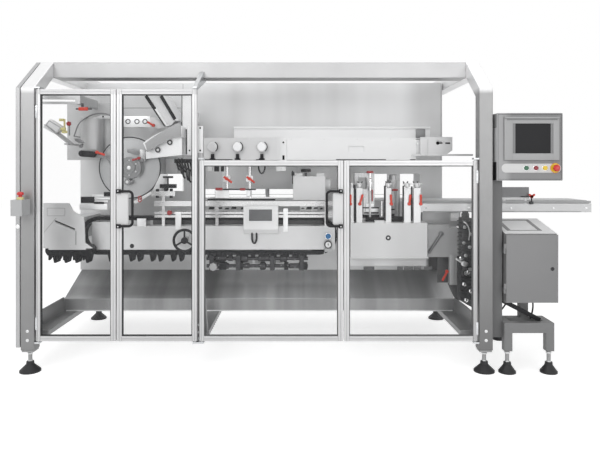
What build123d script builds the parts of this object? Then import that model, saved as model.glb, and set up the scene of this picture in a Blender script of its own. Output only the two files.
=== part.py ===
from build123d import *
import math
import os

os.makedirs("parts", exist_ok=True)

# Automatic cartoner: a guard frame on levelling feet around a balcony machine that erects,
# fills and closes cartons, with a discharge conveyor and a control stand on the right.
# X runs along the machine, Y from front to back, Z up from the floor. The origin lies on the
# floor in the middle of the outline.

# Driving dimensions, in millimetres
overall_length = 3700
frame_length = 2833
frame_depth = 1340
foot_height = 138
post_top = 1714
slope_rise = 202
slope_run = 288
tube = 80
beam_height = 100
beam_depth = 140
end_guard_offset = 30
end_guard_gap = 6
estop_reach = 110
foot_pad = 124
spindle = 24

profile = 30
profile_depth = 30
pane = 6
door_gap = 6
mullion_gap = 10
door_lift = 55
door_head_gap = 8
low_door_top = 1278
door_1_width = 484
door_2_width = 483
door_3_width = 866
pivot_pin = 12
pivot_play = 0.4
shaft_play = 0.4

conveyor_height = 1000
conveyor_width = 300
conveyor_clearance = 100
wall_depth = 900
wall_thick = 12
wall_head_drop = 48
bed_depth = 430

# Places worked out from the driving dimensions
overall_depth = estop_reach + frame_depth + (foot_pad - tube) / 2
left = -overall_length / 2
right = overall_length / 2
front = -overall_depth / 2 + estop_reach
back = front + frame_depth
post_left = left + end_guard_offset
inner_left = post_left + tube
inner_right = post_left + frame_length - tube
post_right = inner_right + tube
beam_top = post_top + slope_rise
beam_bottom = beam_top - beam_height
wall_front = front + wall_depth
wall_back = wall_front + wall_thick
wall_top = beam_top - wall_head_drop
bed_front = front + bed_depth
door_bottom = foot_height + door_lift
tall_door_top = post_top - door_head_gap
door_2_right = inner_left + door_gap + door_1_width + door_gap + door_2_width
mullion_x = door_2_right + mullion_gap / 2

slope_angle = math.atan2(slope_rise, slope_run)
slope_drop = tube / math.cos(slope_angle)
inner_knee = post_top - slope_drop + tube * math.tan(slope_angle)
inner_corner = (slope_rise - beam_height + slope_drop) / math.tan(slope_angle)


def block(x0, x1, y0, y1, z0, z1, mode=Mode.ADD):
    """A box between two limits along each axis."""
    with Locations(((x0 + x1) / 2, (y0 + y1) / 2, (z0 + z1) / 2)):
        Box(x1 - x0, y1 - y0, z1 - z0, mode=mode)


def rod(start, end, radius, mode=Mode.ADD):
    """A round bar between two points."""
    axis = Vector(*end) - Vector(*start)
    with Locations(Plane(origin=Vector(*start) + axis * 0.5, z_dir=axis)):
        Cylinder(radius, axis.length, mode=mode)


def turned(origin, direction, outline_points, mode=Mode.ADD):
    """A turned piece from pairs of radius and distance along its axis."""
    axis = Vector(*direction)
    side = Vector(0, 1, 0) if abs(axis.X) > 0.5 else Vector(1, 0, 0)
    with BuildSketch(Plane(origin=origin, x_dir=side, z_dir=side.cross(axis))) as outline:
        with BuildLine():
            Polyline(*outline_points, close=True)
        make_face()
    revolve(outline.sketch, axis=Axis(origin, direction), mode=mode)


def side_plate(points, x0, x1, mode=Mode.ADD):
    """A plate with an outline in Y and Z, between two places along X."""
    with BuildSketch(Plane.YZ.offset(x0)) as outline:
        with BuildLine():
            Polyline(*points, close=True)
        make_face()
    extrude(outline.sketch, amount=x1 - x0, dir=(1, 0, 0), mode=mode)


def front_plate(points, y0, y1, mode=Mode.ADD):
    """A plate with an outline in X and Z, between two places along Y."""
    with BuildSketch(Plane.XZ.offset(-y0)) as outline:
        with BuildLine():
            Polyline(*points, close=True)
        make_face()
    extrude(outline.sketch, amount=y1 - y0, dir=(0, 1, 0), mode=mode)


def side_frame_outline():
    """The welded side frame: post, sloping knee, top rail and rear post."""
    return [
        (front, foot_height),
        (front, post_top),
        (front + slope_run, beam_top),
        (back, beam_top),
        (back, foot_height),
        (back - tube, foot_height),
        (back - tube, beam_bottom),
        (front + inner_corner, beam_bottom),
        (front + tube, inner_knee),
        (front + tube, foot_height),
    ]


# Guard frame

with BuildPart() as left_side_frame:
    side_plate(side_frame_outline(), post_left, inner_left)
left_side_frame.part.label = "left_side_frame"

with BuildPart() as right_side_frame:
    side_plate(side_frame_outline(), inner_right, post_right)
right_side_frame.part.label = "right_side_frame"

with BuildPart() as upper_beams:
    block(inner_left, inner_right, front + slope_run, front + slope_run + beam_depth, beam_bottom, beam_top)
    block(inner_left, inner_right, back - tube, back, beam_bottom, beam_top)
upper_beams.part.label = "upper_beams"

# Sills: angle sections from the front posts to the rear posts, and one in the middle

sill_lift = 67
sill_flange = 100
sill_flange_thick = 32
sill_web = 10
sill_web_height = 98
left_sill_overlap = 46
right_sill_overlap = 6
middle_sill_shift = 5
mullion_depth = 40
mullion_setback = 45
tray_run = 335
tray_rise = 133
sill_bottom = foot_height + sill_lift
flange_top = sill_bottom + sill_flange_thick
sill_top = flange_top + sill_web_height
wall_bottom = sill_top + tray_rise
sill_left = inner_left - left_sill_overlap
sill_right = inner_right + right_sill_overlap
sill_middle = mullion_x + middle_sill_shift
tray_front = wall_front - tray_run
mullion_front = front + mullion_setback
mullion_back = mullion_front + mullion_depth

with BuildPart() as sills:
    block(sill_left, sill_left + sill_flange, front + tube, back - tube, sill_bottom, flange_top)
    block(sill_left, sill_left + sill_web, front + tube, tray_front, flange_top, sill_top)
    block(sill_right - sill_flange, sill_right, front + tube, back - tube, sill_bottom, flange_top)
    block(sill_right - sill_web, sill_right, front + tube, tray_front, flange_top, sill_top)
    block(sill_middle - sill_flange / 2, sill_middle + sill_flange / 2, mullion_back, back - tube / 2,
          sill_bottom, flange_top)
sills.part.label = "sills"

# Levelling feet under the posts and under the control stand

stand_gap = 70
stand_width = 299
stand_depth = 180
stand_tube = 48
stand_leg_bottom = 133
stand_pad = 103
bearing_plate = 12
bearing_inset = 4
pad_edge = 10
cone_height = 46
neck_height = 64
stand_left = post_right + stand_gap
stand_right = stand_left + stand_width
stand_back = front + stand_depth

foot_places = [
    (post_left + tube / 2, front + tube / 2),
    (post_right - tube / 2, front + tube / 2),
    (post_left + tube / 2, back - tube / 2),
    (post_right - tube / 2, back - tube / 2),
]
stand_foot_places = [
    (stand_left + stand_tube / 2, front + stand_tube / 2),
    (stand_right - stand_tube / 2, front + stand_tube / 2),
]


def foot(place, pad, top):
    """A turned foot: flat pad with a bevelled edge, cone, neck and spindle."""
    turned((place[0], place[1], 0), (0, 0, 1), [
        (0, 0),
        (pad / 2, 0),
        (pad / 2, pad_edge),
        (pad / 2 - pad_edge / 2, pad_edge * 1.5),
        (spindle, cone_height),
        (spindle * 0.9, neck_height),
        (spindle / 2, neck_height),
        (spindle / 2, top),
        (0, top),
    ])


# Guard doors: profile frames with clear panes, hung on pivots in their hinge stiles

door_edges = [
    (inner_left + door_gap, inner_left + door_gap + door_1_width),
    (inner_left + 2 * door_gap + door_1_width, door_2_right),
    (door_2_right + mullion_gap, door_2_right + mullion_gap + door_3_width),
    (door_2_right + mullion_gap + door_3_width + door_gap, inner_right - door_gap),
]
door_tops = [tall_door_top, tall_door_top, low_door_top, low_door_top]
hinge_on_left = [True, False, True, False]
pivot_inset = profile_depth / 2
pivot_y = front + profile_depth / 2
pivot_depth = 16
swing_round = profile_depth / 2 - 1


def pivot_x(index):
    """Place of a door's pivot axis along X."""
    x0, x1 = door_edges[index]
    return x0 + pivot_inset if hinge_on_left[index] else x1 - pivot_inset


def door_frame(index):
    """One door frame with its opening, rounded pivot stile and pivot holes."""
    x0, x1 = door_edges[index]
    top = door_tops[index]
    block(x0, x1, front, front + profile_depth, door_bottom, top)
    hinge_edge = x0 if hinge_on_left[index] else x1
    corners = door.edges().filter_by(Axis.Z).filter_by_position(Axis.X, hinge_edge - 1, hinge_edge + 1)
    fillet(corners, swing_round)
    block(x0 + profile, x1 - profile, front, front + profile_depth,
          door_bottom + profile, top - profile, mode=Mode.SUBTRACT)
    hole = pivot_pin / 2 + pivot_play
    axis_x = pivot_x(index)
    for z0, z1 in [(door_bottom, door_bottom + pivot_depth), (top - pivot_depth, top)]:
        rod((axis_x, pivot_y, z0), (axis_x, pivot_y, z1), hole, mode=Mode.SUBTRACT)


door_frames = []
for index in range(4):
    with BuildPart() as door:
        door_frame(index)
    door.part.label = f"guard_door_{index + 1}_frame"
    door_frames.append(door.part)

door_panes = []
for index in range(4):
    x0, x1 = door_edges[index]
    with BuildPart() as glazing:
        block(x0 + profile, x1 - profile, pivot_y - pane / 2, pivot_y + pane / 2,
              door_bottom + profile, door_tops[index] - profile)
    glazing.part.label = f"guard_door_{index + 1}_pane"
    door_panes.append(glazing.part)

# Bow handles with a lock plate on the meeting stiles of doors 2 and 3

handle_bottom = 885
handle_height = 209
handle_tube = 15
handle_bend = 24
handle_boss = 12
handle_width = 84
handle_gap = 3
lock_plate_thick = 6
lock_plate_inset = 1


def bow_handle(stile_x, direction):
    """A bent tube between two bosses on the stile, and the lock plate that it encloses."""
    y = front - lock_plate_thick - handle_tube / 2 - handle_gap
    x_end = stile_x + direction * handle_width
    z0 = handle_bottom
    z1 = handle_bottom + handle_height
    with BuildLine(Plane.XZ.offset(-y)) as bow:
        FilletPolyline((stile_x, z0), (x_end, z0), (x_end, z1), (stile_x, z1), radius=handle_bend)
    with BuildSketch(Plane(origin=(stile_x, y, z0), z_dir=(direction, 0, 0))) as section:
        Circle(handle_tube / 2)
    sweep(section.sketch, path=bow.wire())
    for z in (z0, z1):
        block(stile_x - handle_boss, stile_x + handle_boss, y - handle_tube / 2 - 2, front,
              z - handle_boss, z + handle_boss)
    mid = (z0 + z1) / 2
    half = profile / 2 - lock_plate_inset
    reach = handle_height / 2 - handle_boss
    block(stile_x - half, stile_x + half, front - lock_plate_thick, front, mid - reach, mid + reach)


door_2_stile = door_edges[1][0] + profile / 2
door_3_stile = door_edges[2][1] - profile / 2

with BuildPart() as guard_door_2_handle:
    bow_handle(door_2_stile, 1)
guard_door_2_handle.part.label = "guard_door_2_handle"

with BuildPart() as guard_door_3_handle:
    bow_handle(door_3_stile, -1)
guard_door_3_handle.part.label = "guard_door_3_handle"

# Mullion behind the joint of doors 2 and 3, with a tapered foot and a head plate

mullion_width = 40
mullion_rise = 211
head_plate_rise = 46
head_plate_left = 82
head_plate_right = 16
head_plate_thick = 10
gusset_run = 32
gusset_rise = 415
gusset_thick = 12
mullion_top = low_door_top + mullion_rise

with BuildPart() as door_mullion:
    block(mullion_x - mullion_width / 2, mullion_x + mullion_width / 2, mullion_front, mullion_back,
          sill_bottom, mullion_top)
    front_plate([
        (mullion_x + mullion_width / 2, sill_bottom),
        (mullion_x + mullion_width / 2 + gusset_run, sill_bottom),
        (mullion_x + mullion_width / 2, sill_bottom + gusset_rise),
    ], mullion_back - gusset_thick, mullion_back)
    block(mullion_x - head_plate_left, mullion_x + head_plate_right, mullion_back,
          mullion_back + head_plate_thick, low_door_top + head_plate_rise, mullion_top)
door_mullion.part.label = "door_mullion"

# Pivot brackets with their pins: bottom and top of every door

bracket = 10
bracket_gap = 6
bracket_inset = 2
bracket_reach = 40
top_bracket_reach = 60
pin_cover = 14
pin_stop = 2
arm_width = 26
arm_rise = 40
arm_run = 90

with BuildPart() as door_pivots:
    for index in range(4):
        axis_x = pivot_x(index)
        z0 = door_bottom - bracket_gap
        z1 = door_tops[index] + bracket_gap
        length = bracket_gap + pivot_depth - pin_stop
        rod((axis_x, pivot_y, z0 - bracket), (axis_x, pivot_y, z0 + length), pivot_pin / 2)
        rod((axis_x, pivot_y, z1 + bracket), (axis_x, pivot_y, z1 - length), pivot_pin / 2)
    reach = door_gap + pivot_inset + pin_cover - bracket_inset
    pivot_2 = pivot_x(1)
    pivot_3 = pivot_x(2)
    lower = (door_bottom - bracket_gap - bracket, door_bottom - bracket_gap)
    upper = (tall_door_top + bracket_gap, tall_door_top + bracket_gap + bracket)
    low_upper = (low_door_top + bracket_gap, low_door_top + bracket_gap + bracket)
    arm_front = front + bracket_inset
    block(inner_left, inner_left + reach, arm_front, front + bracket_reach, *lower)
    block(inner_right - reach, inner_right, arm_front, front + bracket_reach, *lower)
    block(inner_left, inner_left + reach, arm_front, front + top_bracket_reach, *upper)
    block(inner_right - reach, inner_right, arm_front, front + bracket_reach, *low_upper)
    block(pivot_2 - pin_cover, pivot_3 + pin_cover, arm_front, mullion_front, *lower)
    block(mullion_x - mullion_width / 2, mullion_x + mullion_width / 2, mullion_front, mullion_back,
          lower[0], sill_bottom)
    block(mullion_x + 1, pivot_3 + pin_cover, arm_front, mullion_front, *low_upper)
    side_plate([
        (arm_front, upper[0]),
        (arm_front, upper[1]),
        (front + slope_run, beam_bottom + arm_rise),
        (front + slope_run, beam_bottom),
        (front + slope_run + arm_run, beam_bottom),
        (front + slope_run + arm_run, beam_bottom - bracket),
        (front + top_bracket_reach, upper[0]),
    ], pivot_2 - arm_width / 2, pivot_2 + arm_width / 2)
door_pivots.part.label = "door_pivots"

# End guard outside the left posts, and the guard across the rear

end_guard_lift = 17
end_profile = 30
end_guard_stud = 14
stud_inset = 300
end_guard_bottom = foot_height + end_guard_lift
end_guard_x = post_left - end_guard_gap

end_guard_points = [
    (front, end_guard_bottom),
    (front, post_top),
    (front + slope_run, beam_top),
    (back, beam_top),
    (back, end_guard_bottom),
]
end_pane_points = [
    (front + end_profile, end_guard_bottom + end_profile),
    (front + end_profile, post_top - end_profile / 2),
    (front + slope_run + end_profile / 3, beam_top - end_profile),
    (back - end_profile, beam_top - end_profile),
    (back - end_profile, end_guard_bottom + end_profile),
]

with BuildPart() as left_end_guard:
    side_plate(end_guard_points, left, end_guard_x)
    side_plate(end_pane_points, left, end_guard_x, mode=Mode.SUBTRACT)
    for y in (front + tube / 2, back - tube / 2):
        for z in (foot_height + stud_inset, post_top - stud_inset):
            rod((end_guard_x, y, z), (post_left, y, z), end_guard_stud)
left_end_guard.part.label = "left_end_guard"

rear_bays = 4
rear_pitch = (inner_right - inner_left - profile) / rear_bays

with BuildPart() as rear_guard:
    block(inner_left, inner_right, back - profile_depth, back, door_bottom, beam_bottom)
    for bay in range(rear_bays):
        x0 = inner_left + profile + bay * rear_pitch
        x1 = inner_left + (bay + 1) * rear_pitch
        block(x0, x1, back - profile_depth, back, door_bottom + profile, beam_bottom - profile,
              mode=Mode.SUBTRACT)
rear_guard.part.label = "rear_guard"

with BuildPart() as fixed_guard_panes:
    end_pane_x = (left + end_guard_x) / 2
    side_plate(end_pane_points, end_pane_x - pane / 2, end_pane_x + pane / 2)
    for bay in range(rear_bays):
        x0 = inner_left + profile + bay * rear_pitch
        x1 = inner_left + (bay + 1) * rear_pitch
        block(x0, x1, back - profile_depth / 2 - pane / 2, back - profile_depth / 2 + pane / 2,
              door_bottom + profile, beam_bottom - profile)
fixed_guard_panes.part.label = "fixed_guard_panes"

# Stations along the machine, counted from the side frames and the doors

disc_from_left = 432
disc_rise = 233
closing_from_right = 746
closing_length = 499
bed_gap = 94
leaflet_gap = 152
leaflet_length = 224
tool_lead = 26
tool_from_right = 302
disc_x = inner_left + disc_from_left
disc_z = conveyor_height + disc_rise
closing_left = inner_right - closing_from_right
closing_right = closing_left + closing_length
bed_right = closing_left - bed_gap
leaflet_right = closing_left - leaflet_gap
leaflet_left = leaflet_right - leaflet_length
tool_left = mullion_x - tool_lead
tool_right = inner_right - tool_from_right

# Balcony wall with its windows, the cabinet above and the drive housing below behind it

wall_right_inset = 13
shoulder_drop = 5
window_drop = 10
window_rise = 186
feeder_window_rise = 57
long_window_rise = 72
long_window_lead = 94
window_margin = 3
wall_left = sill_left
wall_right = inner_right - wall_right_inset
shoulder = beam_bottom - shoulder_drop
window_bottom = conveyor_height - window_drop
window_top = conveyor_height + window_rise
feeder_window = (disc_x + 124, disc_x + 296)
long_window = (mullion_x - long_window_lead, leaflet_left - window_margin)
closing_windows = [(closing_left + 228, closing_left + 326), (closing_left + 423, closing_left + 573)]

with BuildPart() as machine_wall:
    block(wall_left, wall_right, wall_front, wall_back, wall_bottom, shoulder)
    block(inner_left, wall_right, wall_front, wall_back, shoulder, wall_top)
    block(*feeder_window, wall_front, wall_back, conveyor_height + feeder_window_rise, window_top,
          mode=Mode.SUBTRACT)
    block(*long_window, wall_front, wall_back, window_bottom, conveyor_height + long_window_rise,
          mode=Mode.SUBTRACT)
    for span in closing_windows:
        block(*span, wall_front, wall_back, window_bottom, window_top, mode=Mode.SUBTRACT)
machine_wall.part.label = "machine_wall"

cabinet_inset = 5
cabinet_clearance = 68
cabinet_step = 40
cabinet_lift = 8
window_edge = 20
last_window_edge = 10
cabinet_left = inner_left + cabinet_inset
cabinet_right = inner_right - cabinet_inset
cabinet_back = back - profile_depth - cabinet_clearance
step_back = cabinet_back - cabinet_step
cabinet_bottom = window_top + cabinet_lift
left_step_right = feeder_window[0] - window_edge
right_step_left = closing_windows[-1][1] + last_window_edge

with BuildPart() as electrical_cabinet:
    block(cabinet_left, cabinet_right, wall_back, cabinet_back, cabinet_bottom, wall_top)
    block(cabinet_left, left_step_right, wall_back, step_back, conveyor_height, cabinet_bottom)
    block(right_step_left, cabinet_right, wall_back, step_back, conveyor_height, cabinet_bottom)
electrical_cabinet.part.label = "electrical_cabinet"

with BuildPart() as drive_housing:
    block(cabinet_left, cabinet_right, wall_back, cabinet_back, flange_top, window_bottom)
    block(cabinet_left, left_step_right, wall_back, step_back, window_bottom, conveyor_height)
    block(right_step_left, cabinet_right, wall_back, step_back, window_bottom, conveyor_height)
drive_housing.part.label = "drive_housing"

# Stainless drip tray that slopes down to the front, and the apron below its edge

tray_sheet = 4
tray_drop = 10
tray_thick = 8
apron_seam = 0.5
tray_edge = sill_top - tray_drop

with BuildPart() as drip_tray:
    side_plate([
        (wall_back, wall_bottom),
        (wall_front, wall_bottom),
        (tray_front, tray_edge),
        (tray_front, tray_edge - tray_sheet),
        (wall_front, wall_bottom - tray_thick),
        (wall_back, wall_bottom - tray_thick),
    ], sill_left + sill_web, sill_right - sill_web)
    block(sill_left + sill_web, sill_right - sill_web, tray_front, tray_front + tray_sheet,
          flange_top, tray_edge - tray_sheet - apron_seam)
drip_tray.part.label = "drip_tray"

duct_lead = 254
duct_length = 580
duct_width = 90
duct_height = 50
duct_left = mullion_x - duct_lead

with BuildPart() as cable_duct:
    block(duct_left, duct_left + duct_length, tray_front + tray_sheet, tray_front + tray_sheet + duct_width,
          flange_top, flange_top + duct_height)
cable_duct.part.label = "cable_duct"

# Transport bed: front cover and the table behind it that reaches the wall

bed_drop = 158
bed_height = 158
bed_start = 201
cover_thick = 14
cover_lip = 27
cover_lip_length = 128
chain_gap = 6
chain_width = 90
chain_drop = 95
chain_height = 259
chain_band = 26
chain_start = 240
chain_end_gap = 113
table_start = 220
table_foot = 30
table_drop = 40
web_thick = 20
web_inset = 30
cover_bracket = 60
bed_left = inner_left + bed_start
bed_top = conveyor_height - bed_drop
bed_bottom = bed_top - bed_height
table_top = bed_top - table_drop
chain_front = bed_front + cover_thick + chain_gap
chain_back = chain_front + chain_width
table_front = chain_back + chain_gap
chain_top = conveyor_height - chain_drop
chain_bottom = chain_top - chain_height
loop_radius = chain_height / 2
loop_z = chain_bottom + loop_radius
loop_left = inner_left + chain_start
loop_right = bed_right - chain_end_gap

wheel_from_left = 838
wheel_drop = 245
wheel_shaft = 20
wheel_boss = 48
wheel_boss_reach = 30
wheel_x = inner_left + wheel_from_left
wheel_z = conveyor_height - wheel_drop

with BuildPart() as bed_cover:
    block(bed_left, bed_right, bed_front, bed_front + cover_thick, bed_bottom, bed_top)
    block(bed_left, bed_left + cover_lip_length, bed_front, bed_front + cover_thick,
          bed_top, bed_top + cover_lip)
    turned((wheel_x, bed_front, wheel_z), (0, -1, 0), [
        (0, 0),
        (wheel_boss * 0.7, 0),
        (wheel_boss * 0.7, wheel_boss_reach / 5),
        (wheel_boss / 2, wheel_boss_reach / 5),
        (wheel_boss / 2, wheel_boss_reach),
        (0, wheel_boss_reach),
    ])
    rod((wheel_x, bed_front - wheel_boss_reach, wheel_z), (wheel_x, bed_front + cover_thick, wheel_z),
        wheel_shaft / 2 + shaft_play, mode=Mode.SUBTRACT)
    block(bed_left + table_start, bed_right, table_front, wall_front, bed_bottom + table_foot, table_top)
    for x in (bed_left + 300, bed_left + 800, bed_right - 300):
        block(x, x + cover_bracket, bed_front + cover_thick, table_front,
              bed_bottom + cover_bracket, bed_top - cover_bracket)
    block(loop_left + 2 * web_thick, loop_right - 2 * web_thick,
          chain_front + web_inset, chain_front + web_inset + web_thick,
          chain_bottom + chain_band, chain_top - chain_band)
bed_cover.part.label = "bed_cover"

# Lug chain: one closed loop around the bed, with links around its ends and saw-tooth lugs below

lug_pitch = 141
lug_count = 5
lug_height = 46
lug_foot = 34
lug_shift = 54
lug_lead = 60
link_notch = 8
link_angle = 20
end_links = 8


def lug_tooth(x, z, y0, y1):
    """A saw tooth that hangs from a belt's lower run."""
    front_plate([
        (x, z + 2),
        (x + lug_foot, z + 2),
        (x + lug_foot * 0.65, z - lug_height),
        (x + lug_foot * 0.3, z - lug_height),
    ], y0, y1)


with BuildPart() as bucket_chain:
    with BuildSketch(Plane.XZ.offset(-chain_front)) as loop:
        with Locations(((loop_left + loop_right) / 2, loop_z)):
            SlotCenterToCenter(loop_right - loop_left, chain_height)
            SlotCenterToCenter(loop_right - loop_left, chain_height - 2 * chain_band, mode=Mode.SUBTRACT)
        for centre_x, first_angle in [(loop_left, 110), (loop_right, -70)]:
            for link in range(end_links):
                angle = math.radians(first_angle + link * link_angle)
                place = (centre_x + loop_radius * math.cos(angle), loop_z + loop_radius * math.sin(angle))
                with Locations(place):
                    Rectangle(2 * link_notch, link_notch, rotation=math.degrees(angle), mode=Mode.SUBTRACT)
    extrude(loop.sketch, amount=chain_width, dir=(0, 1, 0))
    for step in range(lug_count):
        lug_x = loop_left + lug_lead + step * lug_pitch
        for shift in (0, lug_shift):
            lug_tooth(lug_x + shift, chain_bottom, chain_front, chain_back)
bucket_chain.part.label = "bucket_chain"

# Infeed: lug belt around a slide bed, and the head plate in front of it

head_depth = 300
head_plate = 12
head_slot = 14
belt_gap = 18
belt_width = 80
belt_reach = 72
belt_drop = 344
belt_height = 70
belt_thick = 14
belt_teeth = 4
tooth_lead = 48
slide_thick = 12
chain_clearance = 10.5
head_table_drop = 256
head_table_height = 146
head_front = front + head_depth
belt_front = head_front + head_plate + belt_gap
belt_back = belt_front + belt_width
belt_left = inner_left - belt_reach
belt_right = loop_left
belt_bottom = conveyor_height - belt_drop
belt_z = belt_bottom + belt_height / 2
slide_left = belt_left + belt_height / 2
slide_right = belt_right - belt_height / 2
slide_bottom = belt_bottom + belt_thick
slide_top = belt_bottom + belt_height - belt_thick
head_table_bottom = conveyor_height - head_table_drop
head_table_top = head_table_bottom + head_table_height

with BuildPart() as infeed_belt:
    with BuildSketch(Plane.XZ.offset(-belt_front)) as band:
        with Locations(((belt_left + belt_right) / 2, belt_z)):
            SlotOverall(belt_right - belt_left, belt_height)
            SlotOverall(belt_right - belt_left - 2 * belt_thick, belt_height - 2 * belt_thick,
                        mode=Mode.SUBTRACT)
    extrude(band.sketch, amount=belt_width, dir=(0, 1, 0))
    for step in range(belt_teeth):
        lug_tooth(belt_left + tooth_lead + step * lug_pitch / 2, belt_bottom, belt_front, belt_back)
infeed_belt.part.label = "infeed_belt"

head_profile = [(94, 4), (122, -48), (194, -93), (200, -256), (249, -291)]
head_slot_ends = [(5, -106), (135, -161)]
head_corners = [(inner_left + run, conveyor_height + rise) for run, rise in head_profile]
head_slot_start, head_slot_end = [(inner_left + run, conveyor_height + rise) for run, rise in head_slot_ends]

with BuildPart() as infeed_head:
    front_plate([(belt_left, head_corners[0][1]), *head_corners, (belt_left, head_corners[-1][1])],
                head_front, head_front + head_plate)
    front_plate([
        head_slot_start,
        head_slot_end,
        (head_slot_end[0], head_slot_end[1] - head_slot),
        (head_slot_start[0], head_slot_start[1] - head_slot),
    ], head_front, head_front + head_plate, mode=Mode.SUBTRACT)
    block(wall_left, loop_left - loop_radius - chain_clearance, head_front + head_plate, wall_front,
          head_table_bottom, head_table_top)
    block(slide_left, slide_right, belt_front, belt_back, slide_bottom, slide_top)
    block(slide_left, slide_right, head_front, belt_front, slide_top - slide_thick, slide_top)
    block(slide_left, slide_right, head_front, head_front + head_plate, slide_top - slide_thick,
          head_corners[-1][1])
infeed_head.part.label = "infeed_head"

# Drive line under the bed: two shafts with couplings in bearing arms

shaft_diameter = 24
shaft_setback = 30
shaft_lead = 20
shaft_end_gap = 181
upper_shaft_drop = 383
lower_shaft_drop = 434
arm_thick = 30
arm_bottom_drop = 460
arm_height = 100
arm_lip = 26
coupling_step = 4
coupling_run = 688
bearing_arms = (36, 216, 446, 646)
upper_couplings = [(63, 131, 22), (145, 179, 18), (234, 281, 24), (349, 437, 20), (498, 546, 24)]
lower_couplings = [(70, 152, 20), (254, 292, 18), (362, 403, 24), (560, 630, 18)]
shaft_y = chain_front + shaft_setback
shaft_left = mullion_x - shaft_lead
shaft_right = bed_right - shaft_end_gap
shaft_fit = (shaft_right - shaft_left) / coupling_run
arm_bottom = conveyor_height - arm_bottom_drop

with BuildPart() as drive_shafts:
    for drop, couplings in [(upper_shaft_drop, upper_couplings), (lower_shaft_drop, lower_couplings)]:
        z = conveyor_height - drop
        rod((shaft_left, shaft_y, z), (shaft_right, shaft_y, z), shaft_diameter / 2)
        for start, end, radius in couplings:
            length = end - start
            turned((shaft_left + start * shaft_fit, shaft_y, z), (1, 0, 0), [
                (0, 0),
                (radius - coupling_step, 0),
                (radius, coupling_step),
                (radius, length - coupling_step),
                (radius - coupling_step, length),
                (0, length),
            ])
    for place in bearing_arms:
        x = shaft_left + place * shaft_fit
        block(x - arm_thick / 2, x + arm_thick / 2, shaft_y - arm_lip, wall_front,
              arm_bottom, arm_bottom + arm_height)
drive_shafts.part.label = "drive_shafts"

# Guide rails along the carton path, on posts that stand on the bed cover and on the table

rail_lead = 188
rail_post = 20
rail_end_inset = 60
rail_bars = [(-6, 10), (18, 30), (70, 104)]
rear_rail_gap = 20
rear_rail_thick = 12
knob_plate = (137, 171)
knob_base = (191, 218)
knob_stem = 5
knob_lead = 90
knob_base_half = 54
knob_base_reach = 20
knob_plate_span = (-19, 138)
knob_top = 259
knob_radius = 34
knob_thick = 13
rail_left = disc_x + rail_lead
rail_right = bed_right
rail_back = bed_front + cover_thick
rear_rail_front = table_front + rear_rail_gap
rear_rail_back = rear_rail_front + rear_rail_thick
rail_post_x = rail_left + rail_end_inset
knob_x = rail_left + knob_lead
knob_y = bed_front + cover_thick / 2

with BuildPart() as guide_rails:
    for low, high in rail_bars:
        block(rail_left, rail_right, bed_front, rail_back, chain_top + low, chain_top + high)
    for x in (rail_left + 420, rail_left + 780, rail_right - rail_end_inset):
        block(x - rail_post / 2, x + rail_post / 2, bed_front, rail_back,
              bed_top, chain_top + rail_bars[2][1])
    block(rail_post_x - rail_post / 2, rail_post_x + rail_post / 2, bed_front, rail_back,
          bed_top, chain_top + knob_plate[1])
    for low, high in rail_bars[:2]:
        block(rail_left, rail_right, rear_rail_front, rear_rail_back, chain_top + low, chain_top + high)
    for x in (rail_post_x, rail_right - rail_end_inset):
        block(x - rail_post / 2, x + rail_post / 2, rear_rail_front, rear_rail_back,
              table_top, chain_top + rail_bars[1][0])
    block(rail_left + knob_plate_span[0], rail_left + knob_plate_span[1], bed_front, rail_back,
          chain_top + knob_plate[0], chain_top + knob_plate[1])
    block(knob_x - knob_base_half, knob_x + knob_base_half, bed_front, rail_back + knob_base_reach,
          chain_top + knob_base[0], chain_top + knob_base[1])
    turned((knob_x, knob_y, chain_top + knob_plate[1] - knob_stem), (0, 0, 1), [
        (0, 0),
        (knob_stem, 0),
        (knob_stem, knob_top - knob_plate[1] + knob_stem),
        (knob_radius, knob_top - knob_plate[1] + knob_stem),
        (knob_radius, knob_top - knob_plate[1] + knob_stem + knob_thick),
        (0, knob_top - knob_plate[1] + knob_stem + knob_thick),
    ])
guide_rails.part.label = "guide_rails"

# Handwheel with three spokes on its shaft

wheel_diameter = 158
wheel_rim = 18
wheel_reach = 86
wheel_hub = 22
spoke_radius = 6
wheel_y = bed_front - wheel_reach
rim_radius = wheel_diameter / 2 - wheel_rim / 2

rim_flats = 8
rim_section = []
for flat in range(rim_flats):
    angle = 2 * math.pi * flat / rim_flats
    rim_section.append((rim_radius + wheel_rim / 2 * math.cos(angle), wheel_rim / 2 * math.sin(angle)))

with BuildPart() as handwheel:
    turned((wheel_x, wheel_y, wheel_z), (0, -1, 0), rim_section)
    turned((wheel_x, wheel_y, wheel_z), (0, -1, 0), [
        (0, wheel_hub / 2),
        (wheel_hub * 0.7, wheel_hub / 2),
        (wheel_hub, wheel_hub / 4),
        (wheel_hub, -wheel_hub / 2),
        (0, -wheel_hub / 2),
    ])
    rod((wheel_x, wheel_y, wheel_z), (wheel_x, rail_back - 2, wheel_z), wheel_shaft / 2)
    for spoke in range(3):
        angle = math.radians(90 + spoke * 120)
        tip = (wheel_x + rim_radius * math.cos(angle), wheel_y, wheel_z + rim_radius * math.sin(angle))
        rod((wheel_x, wheel_y, wheel_z), tip, spoke_radius)
handwheel.part.label = "handwheel"

# Rotary feeder: turned disc on a shaft in the feeder housing

disc_depth = 520
disc_diameter = 426
disc_thick = 16
disc_rim = 14
disc_rim_reach = 6
disc_shaft = 40
hub_diameter = 150
hub_reach = 22
nave_diameter = 82
nave_reach = 30
feeder_depth = 640
feeder_plate_thick = 16
feeder_plate_left = 46
feeder_plate_width = 317
feeder_bottom_rise = 287
feeder_top_rise = 690
feeder_box_left = 182
feeder_box_right = 158
feeder_box_bottom = 120
feeder_box_top = 400
shaft_seat = 80
disc_front = front + disc_depth
feeder_front = front + feeder_depth

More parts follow.
